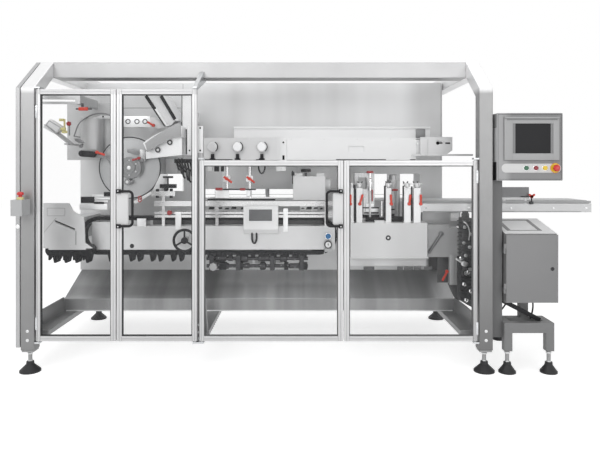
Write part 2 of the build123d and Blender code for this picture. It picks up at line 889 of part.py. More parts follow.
with BuildPart() as feeder_disc:
    turned((disc_x, disc_front, disc_z), (0, 1, 0), [
        (0, -nave_reach),
        (nave_diameter / 2, -nave_reach),
        (nave_diameter / 2, -hub_reach),
        (hub_diameter / 2, -hub_reach),
        (hub_diameter / 2, 0),
        (disc_diameter / 2 - disc_rim, 0),
        (disc_diameter / 2 - disc_rim, -disc_rim_reach),
        (disc_diameter / 2, -disc_rim_reach),
        (disc_diameter / 2, disc_thick),
        (disc_shaft / 2, disc_thick),
        (disc_shaft / 2, feeder_depth - disc_depth + shaft_seat),
        (0, feeder_depth - disc_depth + shaft_seat),
    ])
feeder_disc.part.label = "feeder_disc"

# Housing of the feeder with its reducer drum, the rail arm above and the inclined tray on it

arm_rail_depth = 290
arm_rail_thick = 30
arm_rail_right = 172
arm_rail_rise = 679
arm_rail_height = 26
lower_rail_rise = 647
lower_rail_height = 16
arm_link = 32
drum_radius = 77
drum_depth = 600
drum_shift = 143
drum_rise = 357
drum_height = 217
tray_start = (-68, 517)
tray_end = (87, 394)
tray_depth = 300
tray_width = 120
tray_plate = 6
tray_arm = 22
feeder_plate_x = inner_left - feeder_plate_left
feeder_plate_right = feeder_plate_x + feeder_plate_width
arm_rail_end = inner_left + arm_rail_right
drum_x = inner_left + drum_shift
tray_end_x = inner_left + tray_end[0]
tray_end_z = conveyor_height + tray_end[1]

with BuildPart() as feeder_housing:
    block(feeder_plate_x, feeder_plate_right, feeder_front, feeder_front + feeder_plate_thick,
          conveyor_height + feeder_bottom_rise, conveyor_height + feeder_top_rise)
    block(disc_x - feeder_box_left, disc_x + feeder_box_right, feeder_front, wall_front,
          conveyor_height + feeder_box_bottom, conveyor_height + feeder_box_top)
    rod((drum_x, front + drum_depth, conveyor_height + drum_rise),
        (drum_x, front + drum_depth, conveyor_height + drum_rise + drum_height), drum_radius)
    block(belt_left, arm_rail_end, front + arm_rail_depth, front + arm_rail_depth + arm_rail_thick,
          conveyor_height + arm_rail_rise, conveyor_height + arm_rail_rise + arm_rail_height)
    block(belt_left, arm_rail_end, front + arm_rail_depth, front + arm_rail_depth + arm_rail_thick / 2,
          conveyor_height + lower_rail_rise, conveyor_height + lower_rail_rise + lower_rail_height)
    block(arm_rail_end - arm_link, arm_rail_end, front + arm_rail_depth, feeder_front,
          conveyor_height + lower_rail_rise, conveyor_height + arm_rail_rise + arm_rail_height)
    front_plate([
        (inner_left + tray_start[0], conveyor_height + tray_start[1]),
        (tray_end_x, tray_end_z),
        (tray_end_x, tray_end_z - tray_plate),
        (inner_left + tray_start[0], conveyor_height + tray_start[1] - tray_plate),
    ], front + tray_depth, front + tray_depth + tray_width)
    block(tray_end_x - tray_arm, tray_end_x, front + tray_depth, feeder_front,
          tray_end_z - tray_arm / 2, tray_end_z)
    rod((disc_x, feeder_front, disc_z), (disc_x, feeder_front + shaft_seat + 10, disc_z),
        disc_shaft / 2 + shaft_play, mode=Mode.SUBTRACT)
feeder_housing.part.label = "feeder_housing"

# Inclined carton magazine between two guide belts, with its column, guide arm and roller plate

magazine_depth = 560
magazine_bars = [((89, 742), (236, 521)), ((194, 742), (303, 560))]
magazine_bar_thick = 18
magazine_column = (349, 425, 321, 737)
magazine_column_depth = 80
magazine_stay = (363, 411, 560, 640)
magazine_front = front + magazine_depth

with BuildPart() as carton_magazine:
    for (start, top), (end, bottom) in magazine_bars:
        front_plate([
            (disc_x + start, conveyor_height + top),
            (disc_x + start + magazine_bar_thick, conveyor_height + top),
            (disc_x + end + magazine_bar_thick, conveyor_height + bottom),
            (disc_x + end, conveyor_height + bottom),
        ], magazine_front, wall_front)
    block(disc_x + magazine_column[0], disc_x + magazine_column[1], magazine_front,
          magazine_front + magazine_column_depth, conveyor_height + magazine_column[2],
          conveyor_height + magazine_column[3])
    block(disc_x + magazine_stay[0], disc_x + magazine_stay[1], magazine_front + magazine_column_depth,
          wall_front, conveyor_height + magazine_stay[2], conveyor_height + magazine_stay[3])
carton_magazine.part.label = "carton_magazine"

roller_plate_depth = 480
roller_plate_thick = 12
roller_radius = 20
roller_reach = 14
roller_places = [(203, 354), (284, 405)]
plate_stud = 12
plate_studs = [(228, 320), (290, 420)]
roller_plate_outline = [(116, 340), (160, 381), (269, 439), (364, 439), (364, 320), (119, 293)]
guide_arm_depth = 446
guide_arm_outline = [
    ((128, 353), (250, 412), (371, 441)),
    ((371, 515), (240, 480), (108, 400)),
]
guide_arm_link = 28
roller_plate_front = front + roller_plate_depth
roller_plate_back = roller_plate_front + roller_plate_thick
guide_arm_front = front + guide_arm_depth


def at_disc(place):
    """A place in X and Z from its offsets to the disc's axis and to the carton path."""
    return disc_x + place[0], conveyor_height + place[1]


with BuildPart() as magazine_plate:
    front_plate([at_disc(place) for place in roller_plate_outline], roller_plate_front, roller_plate_back)
    lower_edge, upper_edge = guide_arm_outline
    with BuildSketch(Plane.XZ.offset(-guide_arm_front)) as guide_arm:
        with BuildLine():
            ThreePointArc(*[at_disc(place) for place in lower_edge])
            Line(at_disc(lower_edge[2]), at_disc(upper_edge[0]))
            ThreePointArc(*[at_disc(place) for place in upper_edge])
            Line(at_disc(upper_edge[2]), at_disc(lower_edge[0]))
        make_face()
    extrude(guide_arm.sketch, amount=roller_plate_depth - guide_arm_depth, dir=(0, 1, 0))
    block(disc_x + lower_edge[2][0] - guide_arm_link, disc_x + lower_edge[2][0], guide_arm_front,
          magazine_front, conveyor_height + lower_edge[2][1], conveyor_height + upper_edge[0][1])
    for place in roller_places:
        x, z = at_disc(place)
        rod((x, roller_plate_front - roller_reach, z), (x, roller_plate_front, z), roller_radius)
    for place in plate_studs:
        x, z = at_disc(place)
        rod((x, roller_plate_back, z), (x, wall_front, z), plate_stud)
magazine_plate.part.label = "magazine_plate"

# Tool rail: covered box in front, and a second box on it that reaches the wall

tool_depth = 400
tool_thick = 220
tool_rise = 285
tool_height = 147
hood_lead = 183
hood_end_gap = 173
hood_height = 83
hood_depth = 560
hood_lip = 8
strap_lead = 507
strap_width = 43
strap_thick = 8
strap_drop = 20
recess_lead = 963
recess_length = 104
recess_height = 40
recess_rise = 53
tool_front = front + tool_depth
tool_back = tool_front + tool_thick
tool_bottom = conveyor_height + tool_rise
tool_top = tool_bottom + tool_height
hood_left = tool_left + hood_lead
hood_right = inner_right - hood_end_gap
hood_top = tool_top + hood_height
hood_front = front + hood_depth
strap_x = tool_left + strap_lead
recess_x = tool_left + recess_lead

with BuildPart() as tool_rail_cover:
    block(tool_left, tool_right, tool_front, tool_back, tool_bottom, tool_top)
    side_plate([
        (hood_front, tool_top),
        (hood_front, hood_top - hood_lip),
        (hood_front - hood_lip, hood_top - hood_lip),
        (hood_front - hood_lip, hood_top),
        (wall_front, hood_top),
        (wall_front, tool_top),
    ], hood_left, hood_right)
    block(strap_x, strap_x + strap_width, tool_front - strap_thick, tool_front,
          tool_bottom - strap_drop, tool_top - strap_thick)
    block(recess_x, recess_x + recess_length, tool_front, tool_front + strap_thick,
          tool_bottom + recess_rise, tool_bottom + recess_rise + recess_height, mode=Mode.SUBTRACT)
tool_rail_cover.part.label = "tool_rail_cover"

adjuster_places = (58, 224, 386)
adjuster_rise = 87
adjuster_radius = 34
adjuster_reach = 34

with BuildPart() as adjuster_knobs:
    for place in adjuster_places:
        turned((tool_left + place, tool_front, tool_bottom + adjuster_rise), (0, -1, 0), [
            (0, 0),
            (adjuster_radius * 0.8, 0),
            (adjuster_radius * 0.8, adjuster_reach * 0.2),
            (adjuster_radius, adjuster_reach * 0.3),
            (adjuster_radius, adjuster_reach * 0.8),
            (adjuster_radius * 0.8, adjuster_reach),
            (0, adjuster_reach),
        ])
adjuster_knobs.part.label = "adjuster_knobs"

# Bracket at the right end of the tool rail: block, chamfered plate with a keyhole, and a strip

end_block_length = 74
end_block_depth = 60
end_plate_start = 27
end_plate_length = 213
end_plate_thick = 12
end_chamfer_run = 51
end_chamfer_rise = 38
end_plate_rise = 27
end_plate_height = 126
keyhole_lead = 117
keyhole_rise = 92
keyhole_radius = 12
keyhole_run = 34
keyhole_slot = 5
strip_lead = 30
strip_reach = 72
end_block_top = 135
end_left = tool_right + end_plate_start
end_right = end_left + end_plate_length
end_bottom = tool_bottom + end_plate_rise
end_plate_front = tool_front - end_plate_thick

with BuildPart() as rail_end_bracket:
    block(tool_right, tool_right + end_block_length, tool_front, tool_front + end_block_depth,
          end_bottom, tool_bottom + end_block_top)
    front_plate([
        (end_left, end_bottom + end_plate_height),
        (end_right, end_bottom + end_plate_height),
        (end_right, end_bottom + end_chamfer_rise),
        (end_right - end_chamfer_run, end_bottom),
        (end_left, end_bottom),
    ], end_plate_front, tool_front)
    keyhole_x = end_left + keyhole_lead
    keyhole_z = end_bottom + keyhole_rise
    rod((keyhole_x, end_plate_front, keyhole_z), (keyhole_x, tool_front, keyhole_z), keyhole_radius,
        mode=Mode.SUBTRACT)
    block(keyhole_x, keyhole_x + keyhole_run, end_plate_front, tool_front,
          keyhole_z - keyhole_slot, keyhole_z + keyhole_slot, mode=Mode.SUBTRACT)
    block(tool_right - strip_lead, inner_right + strip_reach, end_plate_front - end_plate_thick,
          end_plate_front, end_bottom, end_bottom + end_plate_thick)
rail_end_bracket.part.label = "rail_end_bracket"

# Clamp stands that hang from the tool rail, and their coloured levers

clamp_depth = 440
clamp_rise = 16
clamp_bar_height = 21
clamp_bar_thick = 20
clamp_bar_start = 22
clamp_bar_length = 450
clamp_rod = 12
clamp_block = 24
clamp_block_rise = 140
clamp_block_height = 40
clamp_shoe = (68, 162, 74)
clamp_stop = (283, 304, 68)
clamp_places = (150, 302)
clamp_y = front + clamp_depth
clamp_bottom = conveyor_height + clamp_rise
clamp_bar_top = clamp_bottom + clamp_bar_height
clamp_z = conveyor_height + clamp_block_rise + clamp_block_height / 2

with BuildPart() as clamp_stands:
    block(tool_left + clamp_bar_start, tool_left + clamp_bar_start + clamp_bar_length,
          clamp_y - clamp_bar_thick / 2, clamp_y + clamp_bar_thick / 2, clamp_bottom, clamp_bar_top)
    for start, end, height in (clamp_shoe, clamp_stop):
        block(tool_left + start, tool_left + end, clamp_y - clamp_bar_thick / 2,
              clamp_y + clamp_bar_thick / 2, clamp_bar_top, clamp_bottom + height)
    shoe_x = tool_left + (clamp_shoe[0] + clamp_shoe[1]) / 2
    shoe_z = (clamp_bar_top + clamp_bottom + clamp_shoe[2]) / 2
    rod((shoe_x, clamp_y - clamp_bar_thick, shoe_z), (shoe_x, clamp_y + clamp_bar_thick, shoe_z),
        clamp_rod, mode=Mode.SUBTRACT)
    for place in clamp_places:
        x = tool_left + place
        rod((x, clamp_y, clamp_bottom + clamp_bar_height / 2), (x, clamp_y, tool_bottom), clamp_rod)
        block(x - clamp_block, x + clamp_block, clamp_y - clamp_block, clamp_y + clamp_block,
              clamp_z - clamp_block_height / 2, clamp_z + clamp_block_height / 2)
clamp_stands.part.label = "clamp_stands"

lever_hub = 10
lever_hub_length = 28
lever_radius = 7
lever_run = 36
lever_drop = 26

with BuildPart() as clamp_levers:
    for place in clamp_places:
        x = tool_left + place
        hub_front = clamp_y - clamp_block - lever_hub_length
        lever_y = hub_front + lever_hub
        rod((x, hub_front, clamp_z), (x, clamp_y - clamp_block, clamp_z), lever_hub)
        rod((x - lever_run / 2, lever_y, clamp_z + lever_drop / 2),
            (x + lever_run, lever_y, clamp_z - lever_drop), lever_radius)
clamp_levers.part.label = "clamp_levers"

# Leaflet unit on its pedestal, with a cap on its stem and a reel cover on its side

leaflet_depth = 560
leaflet_thick = 160
leaflet_lift = 8
leaflet_height = 166
pedestal = (49, 169, 40, 140)
cap_lead = 90
cap_radius = 35
cap_height = 21
cap_stem = 29
reel_radius = 42
reel_length = 42
leaflet_front = front + leaflet_depth
leaflet_bottom = conveyor_height + leaflet_lift
leaflet_top = leaflet_bottom + leaflet_height
leaflet_middle = leaflet_front + leaflet_thick / 2

with BuildPart() as leaflet_unit:
    block(leaflet_left, leaflet_right, leaflet_front, leaflet_front + leaflet_thick,
          leaflet_bottom, leaflet_top)
    block(leaflet_left + pedestal[0], leaflet_left + pedestal[1], leaflet_front + pedestal[2],
          leaflet_front + pedestal[3], table_top, leaflet_bottom)
    turned((leaflet_left + cap_lead, leaflet_middle, leaflet_top), (0, 0, 1), [
        (0, 0),
        (cap_radius / 3, 0),
        (cap_radius / 3, cap_stem),
        (cap_radius, cap_stem),
        (cap_radius, cap_stem + cap_height - 4),
        (cap_radius - 4, cap_stem + cap_height),
        (0, cap_stem + cap_height),
    ])
    reel_z = leaflet_top - leaflet_height / 3
    turned((leaflet_right, leaflet_middle, reel_z), (1, 0, 0), [
        (0, 0),
        (reel_radius, 0),
        (reel_radius, reel_length - 6),
        (reel_radius - 6, reel_length),
        (0, reel_length),
    ])
leaflet_unit.part.label = "leaflet_unit"

# Operator panel, gauge and buttons on the bed cover

panel_lead = 239
panel_width = 230
panel_reach = 50
panel_top_drop = 23
panel_height = 183
panel_slope = 30
panel_left = mullion_x + panel_lead
panel_front = bed_front - panel_reach
panel_top = conveyor_height - panel_top_drop
panel_bottom = panel_top - panel_height

with BuildPart() as display_panel:
    side_plate([
        (panel_front, panel_top),
        (bed_front, panel_top),
        (bed_front, panel_bottom),
        (bed_front - panel_reach / 2, panel_bottom),
        (panel_front, panel_bottom + panel_slope),
    ], panel_left, panel_left + panel_width)
display_panel.part.label = "display_panel"

gauge_inset = 47
gauge_rise = 36
gauge_radius = 26
gauge_reach = 30
gauge_rim = 4
gauge_x = bed_right - gauge_inset

with BuildPart() as pressure_gauge:
    turned((gauge_x, bed_front, bed_bottom + gauge_rise), (0, -1, 0), [
        (0, 0),
        (gauge_radius * 0.8, 0),
        (gauge_radius, gauge_rim),
        (gauge_radius, gauge_reach),
        (gauge_radius - gauge_rim, gauge_reach),
        (gauge_radius - gauge_rim, gauge_reach - gauge_rim),
        (0, gauge_reach - gauge_rim),
    ])
pressure_gauge.part.label = "pressure_gauge"

# Closing station with its adjuster columns and tools

closing_depth = 300
closing_drop = 356
closing_height = 230
skirt_height = 54
skirt_setback = 40
closing_front = front + closing_depth
closing_bottom = conveyor_height - closing_drop
closing_top = closing_bottom + closing_height
closing_step = (158, 220, 16)
flange_reach = 6

with BuildPart() as closing_station:
    block(closing_left, closing_right, closing_front, wall_front, closing_bottom, closing_top)
    block(closing_left, closing_right, closing_front + skirt_setback, wall_front,
          closing_bottom - skirt_height, closing_bottom)
    block(closing_left - flange_reach, closing_right + flange_reach, closing_front - flange_reach,
          wall_front, closing_bottom, closing_bottom + flange_reach)
    block(closing_left + closing_step[0], closing_left + closing_step[1],
          closing_front, closing_front + skirt_setback, closing_top, closing_top + closing_step[2])
closing_station.part.label = "closing_station"

column_spans = [(2, 21), (38, 77), (226, 265), (347, 392), (411, 457)]
column_height = 228
column_inset = 10
column_thick = 26
column_knob = 19
column_knob_height = 24
column_neck = 8
column_front = closing_front + column_inset
column_top = closing_top + column_height

with BuildPart() as adjuster_columns:
    for start, end in column_spans:
        block(closing_left + start, closing_left + end, column_front, column_front + column_thick,
              closing_top, column_top)
        middle = closing_left + (start + end) / 2
        knob = min(column_knob, (end - start) / 2)
        turned((middle, column_front + column_thick / 2, column_top), (0, 0, 1), [
            (0, 0),
            (column_neck, 0),
            (column_neck, column_neck),
            (knob, column_neck),
            (knob, column_neck + column_knob_height - 4),
            (knob - 4, column_neck + column_knob_height),
            (0, column_neck + column_knob_height),
        ])
adjuster_columns.part.label = "adjuster_columns"

tucker = (97, 171)
tucker_head = (38, 171)
tucker_notch = (60, 120)
tucker_depth = 430
tucker_thick = 90
tucker_neck = 186
tucker_height = 324
tucker_wall = 30
pillar_lead = 320
pillar_radius = 45
pillar_depth = 570
pillar_height = 276
pillar_cap = 30
tucker_front = front + tucker_depth
tucker_back = tucker_front + tucker_thick

with BuildPart() as closing_tools:
    block(closing_left + tucker[0], closing_left + tucker[1], tucker_front, tucker_back,
          closing_top, closing_top + tucker_neck)
    block(closing_left + tucker_head[0], closing_left + tucker_head[1], tucker_front, tucker_back,
          closing_top + tucker_neck, closing_top + tucker_height)
    block(closing_left + tucker_notch[0], closing_left + tucker_notch[1], tucker_front, tucker_back,
          closing_top + tucker_neck + tucker_wall, closing_top + tucker_height - tucker_wall,
          mode=Mode.SUBTRACT)
    turned((closing_left + pillar_lead, front + pillar_depth, closing_top), (0, 0, 1), [
        (0, 0),
        (pillar_radius, 0),
        (pillar_radius, pillar_height),
        (pillar_cap, pillar_height),
        (pillar_cap, pillar_height + pillar_cap),
        (pillar_cap - 6, pillar_height + pillar_cap + 6),
        (0, pillar_height + pillar_cap + 6),
    ])
closing_tools.part.label = "closing_tools"

# Discharge drive: side box, column, leg and drive motor beside the closing station

gear_depth = 420
gear_gap = 30
gear_box = 143
gear_column_width = 66
gear_bottom_drop = 365
gear_height = 215
gear_step = 20
leg_lead = 4
leg_width = 47
leg_depth = 50
leg_length = 187
motor_radius = 34
motor_reach = 40
motor_drop = 520
motor_height = 400
motor_collar = 44
motor_link_height = 60
bearer_width = 30
bearer_inset = 20
bearer_places = (14, 104)
side_drop = 71
side_height = 60
gear_front = front + gear_depth
gear_left = closing_right + gear_gap
gear_middle = gear_left + gear_box
gear_right = gear_middle + gear_column_width
gear_bottom = conveyor_height - gear_bottom_drop
gear_top = gear_bottom + gear_height
conveyor_front = wall_front - conveyor_clearance - conveyor_width
conveyor_back = conveyor_front + conveyor_width
side_bottom = conveyor_height - side_drop
motor_x = gear_right + motor_reach
motor_y = gear_front + motor_collar * 2
motor_bottom = conveyor_height - motor_drop

with BuildPart() as gear_column:
    block(gear_left, gear_middle, gear_front, wall_front, gear_bottom, gear_top)
    block(gear_middle, gear_right, gear_front, wall_front, gear_bottom, gear_top - gear_step)
    block(gear_middle + leg_lead, gear_middle + leg_lead + leg_width, gear_front, gear_front + leg_depth,
          gear_bottom - leg_length, gear_bottom)
    for place in bearer_places:
        x = gear_left + place
        block(x, x + bearer_width, conveyor_front + bearer_inset, conveyor_back - bearer_inset,
              gear_top, side_bottom)
    turned((motor_x, motor_y, motor_bottom), (0, 0, 1), [
        (0, 0),
        (motor_radius, 0),
        (motor_radius, motor_height / 2),
        (motor_collar, motor_height / 2),
        (motor_collar, motor_height * 0.6),
        (motor_radius * 0.6, motor_height * 0.6),
        (motor_radius * 0.6, motor_height),
        (0, motor_height),
    ])
    block(gear_right, motor_x, motor_y - motor_radius / 2, motor_y + motor_radius / 2,
          gear_bottom + motor_link_height, gear_bottom + 2 * motor_link_height)
gear_column.part.label = "gear_column"

# Discharge conveyor: side channels with cross bars and a guide plate, and one belt loop

side_thick = 20
cross_bar = 40
cross_bar_height = 14
conveyor_lap = 8
guide_lead = 219
guide_length = 191
guide_thick = 6
guide_lift = 34
guide_height = 78
guide_leg = 16
leg_setback = 190
leg_pad = 80
conveyor_left = closing_right - conveyor_lap
conveyor_middle = (conveyor_left + right) / 2
leg_front = conveyor_front + leg_setback
side_top = side_bottom + side_height
guide_left = post_right + guide_lead
guide_bottom = side_top + guide_lift

with BuildPart() as discharge_conveyor:
    for y in (conveyor_front, conveyor_back - side_thick):
        block(conveyor_left, right, y, y + side_thick, side_bottom, side_top)
    for x in (conveyor_left + 80, conveyor_middle, right - 3 * cross_bar):
        block(x, x + cross_bar, conveyor_front + side_thick, conveyor_back - side_thick,
              side_bottom, side_bottom + cross_bar_height)
    block(conveyor_middle, conveyor_middle + cross_bar, leg_front, leg_front + cross_bar,
          stand_leg_bottom, side_bottom)
    block(guide_left, guide_left + guide_length, conveyor_front, conveyor_front + guide_thick,
          guide_bottom, guide_bottom + guide_height)
    for x in (guide_left + guide_leg, guide_left + guide_length - 2 * guide_leg):
        block(x, x + guide_leg, conveyor_front, conveyor_front + guide_thick, side_top, guide_bottom)
discharge_conveyor.part.label = "discharge_conveyor"

belt_rise = 10
loop_height = 64
loop_sheet = 6
loop_end_gap = 2
loop_length = right - conveyor_left - 2 * loop_end_gap

with BuildPart() as discharge_belt:
    with BuildSketch(Plane.XZ.offset(-(conveyor_front + side_thick))) as belt_loop:
        with Locations(((conveyor_left + right) / 2, conveyor_height + belt_rise - loop_height / 2)):
            SlotOverall(loop_length, loop_height)
            SlotOverall(loop_length - 2 * loop_sheet, loop_height - 2 * loop_sheet, mode=Mode.SUBTRACT)
    extrude(belt_loop.sketch, amount=conveyor_width - 2 * side_thick, dir=(0, 1, 0))
discharge_belt.part.label = "discharge_belt"

# Service column bolted beside the right post, with the control cabinet on top

service_gap = 8
service_setback = 40
service_lift = 73
service_lug = 40
service_lug_rises = (96, 480, 816)
hmi_lead = 17
hmi_width = 393
hmi_rise = 158
hmi_height = 403
hmi_reach = 20
hmi_depth = 170
hmi_round = 6
service_left = post_right + service_gap
service_width = stand_left - service_left
service_front = front + service_setback
service_bottom = stand_leg_bottom + service_lift
hmi_left = post_right + hmi_lead
hmi_bottom = conveyor_height + hmi_rise
hmi_top = hmi_bottom + hmi_height
hmi_front = front - hmi_reach
hmi_back = hmi_front + hmi_depth

with BuildPart() as service_column:
    block(service_left, stand_left, service_front, service_front + service_width,
          service_bottom, hmi_bottom)
    for rise in service_lug_rises:
        block(post_right, service_left, service_front, front + tube,
              service_bottom + rise, service_bottom + rise + service_lug)
service_column.part.label = "service_column"

with BuildPart() as hmi_cabinet:
    block(hmi_left, hmi_left + hmi_width, hmi_front, hmi_back, hmi_bottom, hmi_top)
    fillet(hmi_cabinet.edges().filter_by(Axis.Y), hmi_round)
hmi_cabinet.part.label = "hmi_cabinet"

screen_thick = 6
screen_start = 43
screen_width = 326
screen_rise = 123
screen_height = 256
screen_round = 4

with BuildPart() as hmi_screen:
    block(hmi_left + screen_start, hmi_left + screen_start + screen_width, hmi_front - screen_thick,
          hmi_front, hmi_bottom + screen_rise, hmi_bottom + screen_rise + screen_height)
    fillet(hmi_screen.edges().filter_by(Axis.Y), screen_round)
hmi_screen.part.label = "hmi_screen"

button_rise = 75
button_radius = 14
button_reach = 14
button_places = (174, 232, 286)
reset_radius = 21
reset_rise = 91
reset_reach = 18
estop_place = 348
estop_collar = 30
mushroom_radius = 20
mushroom_stem = 11
button_z = hmi_bottom + button_rise


def push_button(origin, radius, reach):
    """A round button with a bevelled edge that faces the operator."""
    turned(origin, (0, -1, 0), [
        (0, 0),
        (radius, 0),
        (radius, reach * 0.7),
        (radius * 0.85, reach),
        (0, reach),
    ])


def mushroom(origin, direction, collar, collar_height):
    """An emergency button: collar, stem and domed head."""
    stem_top = collar_height + mushroom_stem
    turned(origin, direction, [
        (0, 0),
        (collar, 0),
        (collar, collar_height),
        (mushroom_stem, collar_height),
        (mushroom_stem, stem_top),
        (mushroom_radius, stem_top + 3),
        (mushroom_radius, stem_top + 12),
        (mushroom_radius * 0.8, stem_top + 18),
        (mushroom_radius * 0.4, stem_top + 21),
        (0, stem_top + 21),
    ])


with BuildPart() as push_buttons:
    for place in button_places:
        push_button((hmi_left + place, hmi_front, button_z), button_radius, button_reach)
    push_button((gauge_x, bed_front, bed_bottom + reset_rise), reset_radius, reset_reach)
push_buttons.part.label = "push_buttons"

estop_box_bottom = 953
estop_box_height = 94
estop_box_shift = 23
estop_box_width = 68
estop_collar_height = 14
estop_box_x = post_left + estop_box_shift
estop_box_top = estop_box_bottom + estop_box_height
estop_y = front - estop_reach / 2

with BuildPart() as emergency_buttons:
    mushroom((hmi_left + estop_place, hmi_front, button_z), (0, -1, 0), estop_collar, 4)
    mushroom((estop_box_x, estop_y, estop_box_top), (0, 0, 1), mushroom_radius, estop_collar_height)
emergency_buttons.part.label = "emergency_buttons"

with BuildPart() as estop_box:
    block(estop_box_x - estop_box_width / 2, estop_box_x + estop_box_width / 2, front - estop_reach, front,
          estop_box_bottom, estop_box_top)
    fillet(estop_box.edges().filter_by(Axis.Z).sort_by(Axis.Y)[:2], hmi_round)
estop_box.part.label = "estop_box"

# Lower control cabinet with its hinged door, on a stand of square tube

cabinet_shift = 10
cabinet_width = 313
control_depth = 320
cabinet_floor = 420
cabinet_front_drop = 93
cabinet_rear_drop = 29
cabinet_door_gap = 6
door_thick = 14
door_edge = 4
door_rim = 26
door_sink = 3
hinge_knuckle = 6
hinge_pin = 2.5
hinge_pin_play = 0.3
hinge_inset = 88
knuckle_half = 30
knuckle_gap = 0.5
hinge_tail = 40
cabinet_x0 = stand_left + cabinet_shift
cabinet_x1 = cabinet_x0 + cabinet_width
cabinet_front = front + door_thick + cabinet_door_gap
control_back = front + control_depth
cabinet_rear_top = side_bottom - cabinet_rear_drop
cabinet_front_top = side_bottom - cabinet_front_drop
hinge_heights = (cabinet_floor + hinge_inset, cabinet_front_top - hinge_inset)
hinge_axis_x = cabinet_x0 - hinge_knuckle
hinge_axis_y = front + door_thick / 2


def hinge_half(z0, z1, arm_x, arm_y0, arm_y1):
    """One half of a knuckle with the arm that carries it."""
    rod((hinge_axis_x, hinge_axis_y, z0), (hinge_axis_x, hinge_axis_y, z1), hinge_knuckle)
    block(hinge_axis_x, arm_x, arm_y0, arm_y1, z0, z1)


with BuildPart() as stand_cabinet:
    for z in hinge_heights:
        hinge_half(z - knuckle_half, z - knuckle_gap, cabinet_x0, hinge_axis_y, cabinet_front + hinge_tail)
        rod((hinge_axis_x, hinge_axis_y, z - 1), (hinge_axis_x, hinge_axis_y, z + knuckle_half - 4),
            hinge_pin)
    side_plate([
        (cabinet_front, cabinet_floor),
        (cabinet_front, cabinet_front_top),
        (control_back, cabinet_rear_top),
        (control_back, cabinet_floor),
    ], cabinet_x0, cabinet_x1)
stand_cabinet.part.label = "stand_cabinet"

with BuildPart() as stand_cabinet_door:
    lid_left = cabinet_x0 + 1
    lid_bottom = cabinet_floor + door_edge
    lid_top = cabinet_front_top - door_edge
    block(lid_left, cabinet_x1, front, front + door_thick, lid_bottom, lid_top)
    block(lid_left + door_rim, cabinet_x1 - door_rim, front, front + door_sink,
          lid_bottom + door_rim, lid_top - door_rim, mode=Mode.SUBTRACT)
    for z in hinge_heights:
        hinge_half(z + knuckle_gap, z + knuckle_half, lid_left, front + 1, front + door_thick - 1)
        rod((hinge_axis_x, hinge_axis_y, z), (hinge_axis_x, hinge_axis_y, z + knuckle_half - 3),
            hinge_pin + hinge_pin_play, mode=Mode.SUBTRACT)
stand_cabinet_door.part.label = "stand_cabinet_door"

stand_beam_rise = 109
stand_beam_height = 61
strut_lead = 142
strut_width = 50
stand_beam_bottom = stand_leg_bottom + stand_beam_rise
stand_beam_top = stand_beam_bottom + stand_beam_height
strut_front = stand_back - strut_width
strut_left = stand_left + strut_lead

with BuildPart() as cabinet_stand:
    for x in (stand_left, stand_right - stand_tube):
        block(x, x + stand_tube, front, front + stand_tube, stand_leg_bottom, stand_beam_top)
        block(x, x + stand_tube, front, stand_back, stand_beam_bottom, stand_beam_top)
    block(stand_left, stand_right, front, front + stand_tube, stand_beam_bottom, stand_beam_top)
    block(stand_left, stand_right, strut_front, stand_back, stand_beam_bottom, stand_beam_top)
    block(strut_left, strut_left + strut_width, strut_front, stand_back, stand_beam_top, cabinet_floor)
cabinet_stand.part.label = "cabinet_stand"

# Levelling feet under the posts, the stand and the conveyor's leg

with BuildPart() as levelling_feet:
    for place in foot_places:
        foot(place, foot_pad, foot_height - bearing_plate)
        half = tube / 2 - bearing_inset
        block(place[0] - half, place[0] + half, place[1] - half, place[1] + half,
              foot_height - bearing_plate, foot_height)
    for place in stand_foot_places:
        foot(place, stand_pad, stand_leg_bottom)
    foot((conveyor_middle + cross_bar / 2, leg_front + cross_bar / 2), leg_pad, stand_leg_bottom)
levelling_feet.part.label = "levelling_feet"

pieces = [
    left_side_frame,
    right_side_frame,
    upper_beams,
    sills,
    levelling_feet,
    guard_door_2_handle,
    guard_door_3_handle,
    door_mullion,
    door_pivots,
    left_end_guard,
    rear_guard,
    fixed_guard_panes,
    machine_wall,
    electrical_cabinet,
    drive_housing,
    drip_tray,
    cable_duct,
    bed_cover,
    bucket_chain,
    infeed_belt,
    infeed_head,
    drive_shafts,
    guide_rails,
    handwheel,
    feeder_disc,
    feeder_housing,
    carton_magazine,
    magazine_plate,
    tool_rail_cover,
    adjuster_knobs,
    rail_end_bracket,
    clamp_stands,
    clamp_levers,
    leaflet_unit,
    display_panel,
    pressure_gauge,
    closing_station,
    adjuster_columns,
    closing_tools,
    gear_column,
    discharge_conveyor,
    discharge_belt,
    service_column,
    hmi_cabinet,
    hmi_screen,
    push_buttons,
    emergency_buttons,
    estop_box,
    stand_cabinet,
    stand_cabinet_door,
    cabinet_stand,
]

for piece in pieces:
    export_step(piece.part, f"parts/{piece.part.label}.step")
for shape in door_frames + door_panes:
    export_step(shape, f"parts/{shape.label}.step")
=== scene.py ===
import math

